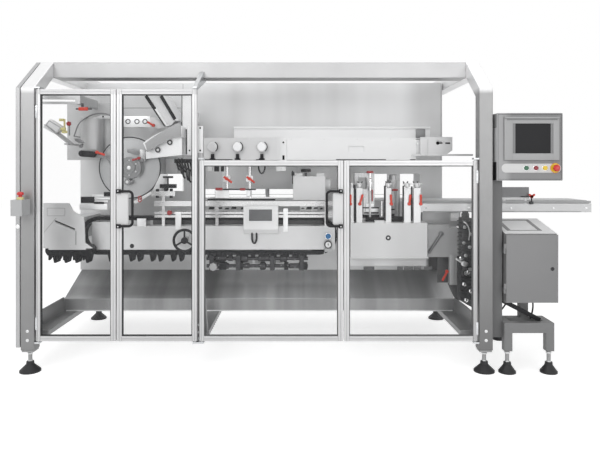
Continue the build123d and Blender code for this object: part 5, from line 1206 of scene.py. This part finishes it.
def closing_details():
    """Ring knobs, grips and edges of the columns, plug, caps and side lever of the closing station."""
    knob_columns, grip_columns = (360, 390, 405, 412.5, 420), (360, 388, 405.5, 415.5)
    with Piece("column_knobs", "plate_aluminium") as knobs:
        for column in knob_columns:
            knobs.ring(at(photo_x(column, 323), 323, 1128), 12, 3.4, 32, 10, UP)
    grip = ((-19, 1144), (-12, 1146), (-3, 1128), (3, 1128), (12, 1146), (19, 1144), (7, 1118), (-7, 1118))
    with Piece("column_grips", "dark_steel") as grips:
        for column in grip_columns:
            x = photo_x(column, 323)
            grips.slab([(x + aside, z) for aside, z in grip], (318, 328), 1.5)
    edge_columns = ((353.8, 355.6), (384.4, 385.8), (403, 404), (411.5, 412.6))
    with Piece("column_edges", "black_plastic") as edges:
        for pair, top in zip(edge_columns, (1122, 1116, 1116, 1112)):
            edges.block([photo_x(column, 306) for column in pair], (304, 330), (886, top), 1)
    plug_pixel = (388.2, 237.8)
    with Piece("station_plug", "black_plastic") as plug:
        plug.turned(photo_at(plug_pixel, 300, 300.4), [(0, 16), (4, 16), (6, 13), (6, 9), (3, 8)])
    with Piece("station_plug_face", "dial_white") as dot:
        dot.turned(photo_at(plug_pixel, 300, 298), [(0, 7.6), (2, 7)], sides=24)
    cap_pixels = ((370.5, 176), (395, 191))
    with Piece("closing_caps", "knob_red") as caps:
        for pixel, high in zip(cap_pixels, (16, 14)):
            caps.star_knob(photo_at(pixel, 470), 22, high, direction=UP)
    pivot, tip = (441, 233.5), (429, 252)
    with Piece("side_lever", "hub_grey") as arm:
        arm.turned(photo_at(pivot, 420, 420.5), [(0, 17), (10, 16), (12, 12)])
        arm.rod(photo_at(pivot, 420, 410), photo_at(tip, 420, 410), 9.5)
        arm.turned(photo_at(tip, 420, 420.5), [(0, 10), (13, 10), (14, 8)])


# Infeed, chain and the drive line under the bed


def infeed_details():
    """The belt's skirt and saw teeth, and the plate's slot, dark lines of painted shade along its folds and
    embossing, and screws.
    """
    x, depth, z = extent("infeed_belt")
    top = z[1]
    with Piece("infeed_skirt", "chain_black") as skirt:
        skirt.block((x[0] + 14, x[1] - 8), (depth[0] - 8, depth[0] - 2.5), (top - 66, top - 27), 1.5)
        for step in range(9):
            left = x[0] + 22 + step * 32
            skirt.slab([(left, top - 60), (left + 28, top - 60), (left + 6, top - 100), (left, top - 96)],
                       (depth[0] - 4, depth[0] + 30), 1.5)
    slot_ends = ((55, 220.5), (75, 229))
    (left, high), (right, low) = (photo_xz(*pixel, 304) for pixel in slot_ends)
    slabs("infeed_slot", "bore_dark",
          ([(left, high + 5), (right, low + 5), (right, low - 6), (left, high - 6)], (306, 312.4), 0.5),
          slot="chain_black")
    slope_ends, upright_ends = ((56, 218), (44, 232)), ((75.5, 231), (76.3, 245))
    embossed_box = (47, 65, 208, 216)
    (top_x, top_z), (low_x, low_z) = (photo_xz(*pixel, 300) for pixel in slope_ends)
    upper, lower = (photo_xz(*pixel, 300) for pixel in upright_ends)
    # Dark lines along the plate's folds and round its embossing: painted shade
    with Piece("infeed_fold_shade_lines", "dark_grey", "feeder_grey") as lines:
        lines.slab([(top_x, top_z), (top_x + 3, top_z), (low_x + 3, low_z), (low_x, low_z)], (299.2, 300.4), 0)
        lines.block((upper[0], upper[0] + 5), (299.2, 300.4), (lower[1], upper[1]), 0)
        lines.rim(*photo_box(embossed_box, 300), (299.3, 300.4), 2)
    screw_pixels = ((46, 246), (70, 246), (60, 226), (80, 214))
    with Piece("infeed_screws", "zinc") as screws:
        for pixel in screw_pixels:
            screws.screw(photo_at(pixel, 300), 5, 3)


def chain_details():
    """Link pins along the bucket chain's lower run and round its end."""
    _, depth, z = extent("bucket_chain")
    start, step, low = -1500, 25, 646
    places = [(start + step * (i + 0.5), 653) for i in range(59)]
    places += arc(start, (z[1] + low) / 2, (z[1] - low) / 2 - 8, LEFT_HALF)
    with Piece("chain_pins", "dark_steel", "chain_black") as pins:
        for x, height in places:
            pins.rod(at(x, depth[0] - 1.6, height), at(x, depth[0] + 2, height), 4.2, 0.6, 12)


def drive_line_details():
    """The end knob, light spacers, screws and dark blocks along the drive line."""
    knob_column = 213.5
    x = photo_x(knob_column, 450)
    with Piece("drive_knob", "drive_grey") as knob:
        knob.star_knob(at(x, 448, 566), 29, 20, 8)
        knob.rod(at(x, 447, 566), at(x, 470, 566), 9)
    with Piece("drive_spacers", "cover_white") as spacers:
        spacers.row(((-704, -662), (-590, -470), (-452, -382), (-300, -262)), (528, 540), (574, 612), 3)
    with Piece("drive_screws", "hub_grey", "hinge_steel") as screws:
        for i in range(14):
            for height in (617, 566):
                place = at(-740 + i * 47, 459 if i % 2 else 463, height + (7 if i % 3 else -6))
                screws.screw(place, 4, 3)
    with Piece("drive_blocks", "black_plastic") as dark:
        dark.row(((-768, -738), (-702, -640), (-628, -600), (-560, -494), (-476, -448), (-424, -350),
                  (-330, -300), (-262, -216), (-196, -150), (-132, -96)), (462, 500), (628, 654), 3)
        dark.row(((-690, -640), (-570, -528), (-410, -380), (-250, -220), (-150, -92)),
                 (458, 506), (542, 590), 4)


# Clamps, hangers and small fittings over the bed


def clamp_details():
    """Clamp knobs, bars and blocks, hangers under the tool rail, and edges of leaflet unit, hood and rail."""
    knob_ends = ((215.5, 222.5, 189), (240, 245.5, 189.3))
    with Piece("clamp_knobs", "knob_red") as knobs:
        for left, right, row in knob_ends:
            z = photo_xz(left, row, 415)[1]
            knobs.rod(at(photo_x(left, 415), 415, z), at(photo_x(right, 415), 415, z), 9, 3)
    bar_left, bar_right = (222.5, 189.5), (256, 189.5)
    x, depth, _ = extent("clamp_stands")
    with Piece("clamp_bars", "black_plastic") as bars:
        bars.rod(photo_at(bar_left, 418, 415), photo_at(bar_right, 418, 415), 4)
        bars.block((x[0] - 3, x[1] + 3), (depth[0] + 7, depth[0] + 13), (1014, 1027), 1.5)
    block_boxes = ((215.3, 229, 189.3, 198), (246.5, 250.5, 190, 196.5))
    photo_blocks("clamp_blocks", "plate_aluminium", block_boxes, (421, 431), 2, 424)
    hanger_boxes, ring_boxes = ((208, 212.5), (276, 286)), ((214.5, 219), (221, 224))
    hanger_row, ring_row, eye_box = 171, 171.5, (258.5, 265, 167, 173)
    low = photo_xz(0, hanger_row, 450)[1]
    with Piece("rail_hangers", "cover_white") as hangers:
        for left, right in ([photo_x(column, 450) for column in pair] for pair in hanger_boxes):
            hangers.block((left, right), (440, 470), (low, 1266), 3)
            hangers.screw(at((left + right) / 2, 440, low + 14), 5, 3)
    low = photo_xz(0, ring_row, 450)[1]
    (left, right), (bottom, _) = photo_box(eye_box, 450)
    with Piece("hanger_rings", "black_plastic") as rings:
        rings.row([[photo_x(column, 450) for column in pair] for pair in ring_boxes],
                  (436, 466), (low, 1266), 3)
        rings.tube([at(left, 450, 1268), at(left, 450, bottom + 22), at((left + right) / 2, 450, bottom - 12),
                    at(right, 450, bottom + 22), at(right, 450, 1268)], 5)
    x, depth, _ = extent("leaflet_unit")
    blocks("leaflet_edge", "black_plastic",
           ((x[0] - 7, x[0] + 0.4), (depth[0] + 2, depth[0] + 30), (1120, 1212), 2))
    blocks("hood_lip", "cover_white", ((-599, 760), (548, 552.6), (1503, 1517), 1.5))
    edge_columns = ((205, 232.5), (256, 264), (282, 285), (336, 386), (410, 440))
    with Piece("tool_rail_edge", "gasket_black") as edge:
        edge.row([(photo_x(left, 400), min(photo_x(right, 400), 628)) for left, right in edge_columns],
                 (396.5, 401), (1285, 1290), 1)


def right_end_details():
    """Dark tooling between the columns, and motor, bracket, knobs and levers beside the closing station."""
    block_tops = (((366, 386), 217.5), ((392, 404), 216.5), ((354, 356), 189))
    with Piece("closing_blocks", "black_plastic") as tools:
        for pair, row in block_tops:
            high = photo_xz(0, row, 400)[1]
            tools.block([photo_x(column, 400) for column in pair], (392, 428), (873, high), 2)
    riser_column, plate_box = 370, (381, 386, 201, 220)
    middle = photo_x(riser_column, 424)
    (left, right), (_, high) = photo_box(plate_box, 410)
    with Piece("closing_fittings", "chrome") as bright:
        bright.turned(at(middle, 424, 1080), [(0, 14), (24, 14), (28, 22), (58, 22), (62, 15), (78, 15),
                                              (84, 9), (118, 9)], UP)
        bright.block((left, right), (404, 416), (873, high), 2)
    blocks("closing_riser", "tool_grey", ((middle - 7, middle + 7), (417, 432), (873, 1082), 2))
    with Piece("closing_cap", "knob_red") as cap:
        cap.star_knob(at(middle, 424, 1196), 25, 16, direction=UP)
        cap.block((middle + 10, middle + 18), (408, 416), (1010, 1086), 2)
    motor_x, motor_depth = 965, 508
    fins = [(6 + fin * 11 + step, radius) for fin in range(14)
            for step, radius in ((0, 44), (0, 50), (5, 50), (5, 44))]
    with Piece("drive_motor", "dark_steel") as motor:
        motor.turned(at(motor_x, motor_depth, 500), [(0, 44), *fins, (168, 44)], UP, 32)
        motor.block((motor_x - 30, motor_x + 24), (motor_depth - 66, motor_depth - 38), (560, 640), 4)
    knob_pixels = ((461, 258), (468, 272), (464, 284), (470.6, 291), (466, 300))
    with Piece("drive_fittings", "chrome") as knobs:
        for pixel in knob_pixels:
            knobs.turned(photo_at(pixel, 350, 356), [(0, 8.5), (6, 8.5), (8, 13), (15, 13), (18, 8)], sides=20)
            knobs.rod(photo_at(pixel, 350, 356), photo_at(pixel, 350, 371), 6)
    bracket_box = (457, 473.6, 256, 300)
    (left, right), (low, high) = photo_box(bracket_box, 370)
    with Piece("drive_bracket", "dark_steel") as bracket:
        bracket.slab([(left, low + 40), (left + 30, low), (right - 6, low), (right - 6, high - 30),
                      (right - 30, high), (left, high)], (366, 376), 2)
        for i in range(3):
            bracket.rod(at(left + 24, 362 - i * 3, low + 60 + i * 44),
                        at(right - 14, 362 - i * 3, low + 46 + i * 44), 7)
    hub, tip = (447, 271.5), (441.5, 282)
    x, z = photo_xz(*hub, 414)
    with Piece("leg_lever", "lever_red") as lever:
        lever.photo_lever(hub, tip, 414, 419, 62)
    with Piece("leg_lever_rod", "drive_grey") as rod:
        rod.rod(at(x, 418, z), at(x + 26, 430, z), 8)


# More of the feeder, the upper left and the closing station


def drum_details():
    """The bent guide wire and its strip, the carriage on the tray, and joint, lever and arm beside it."""
    wire_pixels = ((74, 132), (78, 124), (85.8, 117.6), (94, 114), (102.5, 113), (110.4, 115.2), (118, 119))
    points = [photo_at(pixel, 515) for pixel in wire_pixels]
    points[0] += Vector((0, 0, -0.03))
    with Piece("guide_wire", "hub_grey") as wire:
        wire.tube(points, 4.4, 10, 2)
        for point, reach in ((points[0], 0.124), (points[2], 0.124), (points[5], 0.384)):
            wire.rod(point, point + Vector((0, reach, 0)), 3.5)
    strip_box, screw_pixel = (90, 112, 115.6, 118.7), (103, 116.6)
    (left, right), (low, high) = photo_box(strip_box, 600)
    outline = [(left, low), (right, low), (right, high - 4), (left + 78, high + 2)]
    slabs("guide_strip", "cover_white", (outline, (596, 606), 1.5))
    with Piece("guide_strip_screw", "dark_steel") as screw:
        screw.screw(photo_at(screw_pixel, 594, 596), 6, 4)
    carriage_pixels = ((44, 127.5), (51.2, 119.3), (62.2, 126.6), (62.8, 129), (59.4, 131.8), (55, 133.6))
    photo_slabs("tray_carriage", "panel_white", 350, (carriage_pixels, (328, 392), 3))
    line_pixels = (((49, 120.6), (60.5, 127.6)), ((46.2, 124.8), (55.4, 131.8)), ((49, 120.6), (46.2, 124.8)),
                   ((60.5, 127.6), (58, 131)))
    with Piece("carriage_frame", "box_grey") as lines:
        for start, end in line_pixels:
            lines.rod(photo_at(start, 326, 327), photo_at(end, 326, 327), 2.4)
    clip_boxes = ((59.4, 63.6, 118.6, 121.2), (60.6, 65.6, 127.6, 130.4), (62, 67, 130.6, 133.2))
    upright_box = (63.8, 65.2, 119, 133.4)
    with Piece("carriage_clips", "pale_yellow") as clips:
        for box in clip_boxes:
            clips.photo_block(box, (326, 345), 2, 334)
        clips.photo_block(upright_box, (334, 346), 1.5, 340)
    knob_pixel, tail_pixel, dot_pixel = (68.3, 123.6), (69.2, 131.6), (80.7, 146.2)
    joint_pixels = ((74.4, 138.6), (78.6, 138.4), (83, 141.4), (84.4, 143), (79, 143), (75.6, 141))
    place, dot = photo_at(knob_pixel, 336, 352), photo_at(dot_pixel, 366, 372)
    with Piece("carriage_knob", "knob_red") as knob:
        knob.star_knob(place, 17, 16)
    with Piece("carriage_stem", "hub_grey") as stem:
        stem.rod(place, photo_at(tail_pixel, 352, 356) - Vector((0, 0, 0.026)), 5)
        stem.rod(place, photo_at(knob_pixel, 336, 366), 6)
        stem.photo_slab(joint_pixels, 380, (372, 392), 2)
        stem.turned(dot, [(0, 13), (8, 13), (8, 6), (3, 5)], sides=24)
        stem.rod(dot, dot + Vector((0, 0.028, 0.014)), 8)
    lever_pixels, arm_pixels = ((96.8, 152.2), (104, 154.6)), ((92, 154.5), (104.8, 156), (112, 167))
    with Piece("loop_lever", "lever_red") as clamp:
        clamp.photo_lever(*lever_pixels, 420, 428)
    first, second, third = (photo_xz(*pixel, 440) for pixel in arm_pixels)
    with Piece("loop_arm", "hub_grey") as arm:
        arm.tube([at(first[0], 446, first[1]), at(second[0], 446, second[1]), at(third[0], 446, third[1]),
                  at(third[0] + 20, 486, third[1] - 26)], 5.5, 10, 2)
        arm.block((first[0] + 22, second[0] - 6), (436, 456), (first[1] - 22, first[1] - 4), 2)


def disc_details():
    """Guard arc, carrier plate, lever and roller in front of the disc, and blocks and knobs below it."""
    slabs("disc_guard_arc", "hub_grey", ([*arc(DISC_X, DISC_Z, 88, range(-52, 46, 7)),
                                          *arc(DISC_X, DISC_Z, 74, range(41, -58, -7))], (474, 485), 2))
    mount_box = (140, 145.4, 149, 160)
    (left, right), (low, high) = photo_box(mount_box, 478)
    mount = [(left, high), (right, high - 6), (right, low - 10), (left + 8, low), (left, low + 14)]
    slabs("disc_guard_mount", "tool_grey", (mount, (470, 484), 3), slot="disc_aluminium")
    bar_pixels = ((127, 149.4), (133, 149), (139.8, 152), (140.2, 154.8), (135, 154.4), (127.4, 152.4))
    wheel_pixel, joint_pixel = (127.3, 181.9), (142.2, 160.2)
    x, z = photo_xz(*wheel_pixel, 480)
    with Piece("disc_bar", "hub_grey") as bar:
        bar.photo_slab(bar_pixels, 480, (472, 482), 2.5)
        bar.turned(at(x, 486, z), [(0, 22), (12, 22), (14, 20), (14, 11), (10, 11)], sides=32)
        bar.block((x, x + 40), (476, 486), (z - 8, z + 8), 3)
        bar.turned(photo_at(joint_pixel, 478, 470), [(0, 14), (8, 13), (12, 8)], sides=24)
    with Piece("disc_roller_face", "dial_white") as face:
        face.turned(at(x, 477, z), [(0, 10.4), (3.4, 10)])
    lever_pixels = ((139, 158.2), (133.2, 160))
    with Piece("disc_lever", "knob_red") as lever:
        lever.photo_lever(*lever_pixels, 470, 470)
    block_boxes = ((104, 110.6, 192, 196.4), (81, 94, 196.8, 203), (94, 103.6, 202, 203.8))
    plate_boxes = ((93.6, 110, 197.6, 199.4), (93.6, 108, 200.6, 201.9), (79.4, 107.4, 204, 209.6),
                   (92, 111.6, 194.6, 196.8))
    photo_blocks("feeder_blocks", "black_plastic", block_boxes, (440, 462), 2, 446)
    photo_blocks("feeder_plates", "plate_aluminium", plate_boxes, (450, 470), 2)
    t_knob_pixel, star_pixel = (139.8, 199), (169.6, 212.8)
    x, z = photo_xz(*t_knob_pixel, 430)
    with Piece("feeder_knobs", "knob_red") as knobs:
        knobs.ring(at(x, 430, z + 9), 10, 3.6, 28, 8)
        knobs.ring(at(x, 430, z - 9), 10, 3.6, 28, 8)
        knobs.rod(at(x - 8, 430, z), at(x + 8, 430, z), 4)
        knobs.star_knob(photo_at(star_pixel, 400, 404), 19)
    with Piece("feeder_knob_stems", "hub_grey") as stems:
        stems.rod(photo_at(star_pixel, 400, 403), photo_at(star_pixel, 400, 424), 6)
        stems.rod(at(x, 430, z), at(x, 470, z), 6)
    band_pixels = ((145, 143.4), (150, 139.4), (156, 135.4), (162, 131.6), (168, 128), (174.6, 124.4),
                   (180.6, 122), (181.6, 136.8), (174, 138), (166, 141.2), (158, 145.8), (150, 150.6),
                   (147.4, 152))
    photo_slabs("magazine_band", "band_grey", 443, (band_pixels, (441.5, 447), 1.5))


def bed_inside():
    """The dark band between the rails and the bed cover, its fingers, and bits under the closing box."""
    band_ends, band_row = (147, 324.5), 216.4
    rails, cover = extent("guide_rails")[0], extent("bed_cover")[2]
    left, right = (photo_x(column, 474) for column in band_ends)
    blocks("rail_shadow_band", "band_dark",
           ((max(left, rails[0]), min(right, rails[1])), (470, 476),
            (cover[1] - 30, photo_xz(0, band_row, 474)[1]), 1))
    finger_columns = ((208.5, 214.5), (217.5, 222.6), (224.6, 229.4), (231, 236.6), (240.6, 243.4),
                      (301, 304.6), (306, 312), (313.4, 318), (319.6, 323))
    low_row, high_row = 209.4, 206.8
    with Piece("rail_fingers", "black_plastic") as fingers:
        for i, pair in enumerate(finger_columns):
            box = (*pair, high_row + 0.5 * (i % 3), low_row - 0.5 * (i % 2))
            (left, right), (low, high) = photo_box(box, 470)
            fingers.slab([(left, low), (right - 6, low), (right, (low + high) / 2), (right - 3, high),
                          (left + 7, high)], (462, 482), 1.5)
    bit_columns, bit_rows = ((363.6, 374.4), (397.4, 403), (404, 413), (414, 421), (424.4, 432)), (266.6, 270)
    photo_blocks("station_shelf_bits", "band_dark", [(*pair, *bit_rows) for pair in bit_columns],
                 (296, 310), 1.5, 300)


def side_drive_details():
    """The dark gearbox, cooling fins, couplings and lever beside the conveyor's drive column."""
    with Piece("side_drive", "band_dark") as body:
        body.block((919, 984), (330, 424), (640, 905), 8)
        body.block((927, 992), (350, 430), (520, 640), 8)
        for i in range(9):
            body.block((911, 992), (322, 424), (660 + i * 27, 667 + i * 27), 2)
        body.turned(at(952, 372, 905), [(0, 26), (26, 26), (30, 20), (42, 20)], UP)
    with Piece("side_drive_fittings", "tool_grey") as details:
        for x, z in ((928, 742), (966, 715), (940, 660), (972, 800), (934, 845)):
            details.turned(at(x, 322, z), [(0, 12), (7, 12), (10, 8), (16, 8)], sides=6)
        details.tube([at(927, 324, 880), at(946, 312, 868), at(966, 312, 820), at(962, 324, 760)], 5)
    lever_pixels = ((455.6, 258.4), (463, 263))
    start, end = (photo_at(pixel, 320, 316) for pixel in lever_pixels)
    hub = end + Vector((4, 0, -4)) * MM
    with Piece("side_drive_lever", "knob_grey") as lever:
        lever.rod(start, end, 7, 2)
        lever.turned(hub + Vector((0, 8, 0)) * MM, [(0, 17), (14, 17), (16, 14)], sides=24)
        lever.rod(hub, hub + Vector((0, 29, 0)) * MM, 7)


def frame_lines():
    """Seams of the wall, and the light post and dark strip behind the hood's right end."""
    seam_columns, fold_ends, fold_row = (183, 441), (122, 181), 108
    z = photo_xz(0, fold_row, 899)[1]
    with Piece("wall_seams", "hub_grey", "wall_steel") as seams:
        for column in seam_columns:
            x = photo_x(column, 899)
            seams.block((x - 1.4, x + 1.4), (898.6, 901), (1240, 1860), 0.2)
        seams.block([photo_x(column, 899) for column in fold_ends], (898.6, 901), (z - 2, z + 2), 0.2)
    post_box, shadow_box = (420, 427, 138.4, 155.4), (416, 425.5, 129, 138)
    photo_blocks("hood_end_post", "unit_grey", [post_box], (372, 378), 1.5, 386)
    photo_blocks("hood_end_shadow", "hub_grey", [shadow_box], (556.6, 561), 1, 548)


# Sheets behind the mechanism and the last small parts


def painted_light_sheets():
    """Bright sheets screwed to the wall behind the rails and behind the drive line: painted light where the
    wall lies in shade.
    """
    drive_box = (216, 266, 259, 267.4)
    # Sheets lighter than the shaded wall: painted light
    with Piece("painted_light_sheets", "wall_painted_light") as sheets:
        sheets.block((-724, 160), (895, 900.5), (1080, 1300), 1)
        sheets.block((-1148, -1062), (895, 900.5), (1192, 1300), 1)
        sheets.photo_block(drive_box, (895, 900.5), 1)
    with Piece("backing_sheet_screws", "zinc") as screws:
        for x in (-700, -420, -140, 140):
            for z in (1098, 1282):
                screws.screw(at(x, 895, z), 5, 3)


def guide_knob_details():
    """The light plate behind the rail's knob, the knob's bolts, and the slot plate's lever and corner."""
    upper_pixels = ((160.6, 174), (168, 174), (168, 190.6), (152.6, 190.6))
    lower_pixels = ((132.6, 201.8), (136, 203.8), (152.6, 193.4), (150.8, 191.6))
    photo_slabs("knob_back_plate", "cover_white", 474, (upper_pixels, (472, 476), 0.8),
                (lower_pixels, (472, 476), 0.8))
    bolt_pixels = ((157.3, 189, 191.4), (165.4, 188.2, 191.2), (171, 188.6, 191.4), (157.2, 195.8, 198),
                   (171, 195.8, 198))
    photo_blocks("knob_bolts", "black_plastic",
                 [(column - 1.5, column + 1.5, top, low) for column, top, low in bolt_pixels], (424, 440), 2)
    hub, tip = (153.4, 125.4), (148.4, 122.4)
    with Piece("slot_plate_lever", "lever_red") as lever:
        lever.photo_lever(hub, tip, 588, 592)
    with Piece("slot_plate_stem", "hub_grey") as stem:
        stem.rod(photo_at(hub, 588, 591), photo_at(hub, 588, 604), 6)
    corner_pixels = ((149, 117), (156, 117.6), (165, 127.4), (158, 128.6), (149, 127))
    photo_slabs("slot_plate_corner", "cover_white", 606, (corner_pixels, (603, 609), 1))


def leaflet_details():
    """Light tabs and the dark clamp on the leaflet unit."""
    tab_boxes = ((294.8, 302.6, 173.2, 176.6), (316.6, 324.4, 173.2, 176.6))
    photo_blocks("leaflet_tabs", "cover_white", tab_boxes, (566, 574), 1)
    clamp_boxes = (((304.6, 307, 172.6, 176.8), (566, 590)), ((291.4, 294.4, 171.6, 175.4), (562, 574)))
    with Piece("leaflet_clamp", "dark_steel") as clamp:
        for box, depth in clamp_boxes:
            clamp.photo_block(box, depth, 1)


def closing_tooling():
    """Light and dark tooling plates between the columns of the closing station."""
    light_boxes = ((366, 374, 203.6, 207), (366, 378, 208.6, 212), (385.6, 391, 204.6, 208.4),
                   (385.6, 388.6, 211, 213.6))
    dark_boxes = ((362.6, 379, 207.2, 208.4), (364, 378.6, 212.2, 213.6), (385.6, 394.8, 208.8, 210.2),
                  (362, 379.6, 214.6, 217.8), (386, 394.6, 213.8, 217.8))
    photo_blocks("tooling_plates", "plate_aluminium", light_boxes, (424, 431), 1)
    photo_blocks("tooling_edges", "black_plastic", dark_boxes, (427, 438), 1)


def drive_side_details():
    """Cover, apron, tie plates and bar by the drive column, and pulleys below the side drive."""
    cover_box, bar_box = (428.6, 441, 257, 270.6), (449.6, 454, 255, 284)
    with Piece("drive_side_cover", "band_dark") as cover:
        cover.block((796, 888), (500, 506), (448, 640), 2)
        cover.photo_block(cover_box, (890, 900.5), 2)
    front_pixels = ((457, 290), (473.4, 290), (473.4, 308), (467.5, 305), (457, 298.6))
    back_pixels = ((447.5, 283), (459, 283), (459, 301), (454, 297.4), (450.5, 290))
    with Piece("drive_apron", "band_dark") as apron:
        apron.photo_slab(front_pixels, 372, (370, 378), 1)
        apron.photo_slab(back_pixels, 438, (436, 444), 1)
        apron.block((926, 940), (374, 440), (470, 560), 2)
    blocks("drive_tie_plates", "drive_grey", ((696, 878), (508, 521), (850, 929.5), 2),
           ((852, 962), (521, 560), (829, 929.5), 2))
    blocks("drive_tie_joint", "unit_grey", ((892, 950), (513, 521.5), (866, 926), 2))
    photo_blocks("drive_side_bar", "box_grey", [bar_box], (414, 421), 2)
    with Piece("drive_pulley_rims", "black_plastic") as rims, Piece("drive_pulleys", "tool_grey") as pulleys:
        for x, z, size in ((948, 600, 17), (976, 566, 13), (950, 540, 15)):
            rims.turned(at(x, 352, z), [(0, size + 6), (9, size + 6)])
            pulleys.turned(at(x, 343.4, z), [(0, size), (5, size - 2), (5, 5), (2, 4)])


def tray_lip():
    """A bright strip along the apron's lower edge: the rolled lip, lighter as a painted highlight."""
    x, depth, z = extent("drip_tray")
    # Bright aluminium colour on the lip: painted highlight
    blocks("apron_lip_highlight", "plate_aluminium",
           ((x[0] + 12, x[1] - 12), (depth[0] - 4, depth[0] + 1), (z[0] + 1, z[0] + 9), 1.5))


for door_number in DOORS:
    door_trim(door_number)

for make_details in (
        handle_plates, hinge_leaves, frame_fittings, operator_cabinet, stand_fittings, feeder_details,
        lever_details, upper_left_details, magazine_details, tool_rail_details, bed_details, rear_details,
        conveyor_details, closing_details, infeed_details, chain_details, drive_line_details, clamp_details,
        right_end_details, drum_details, disc_details, side_drive_details, bed_inside, frame_lines,
        painted_light_sheets, guide_knob_details, leaflet_details, closing_tooling, drive_side_details, tray_lip):
    make_details()
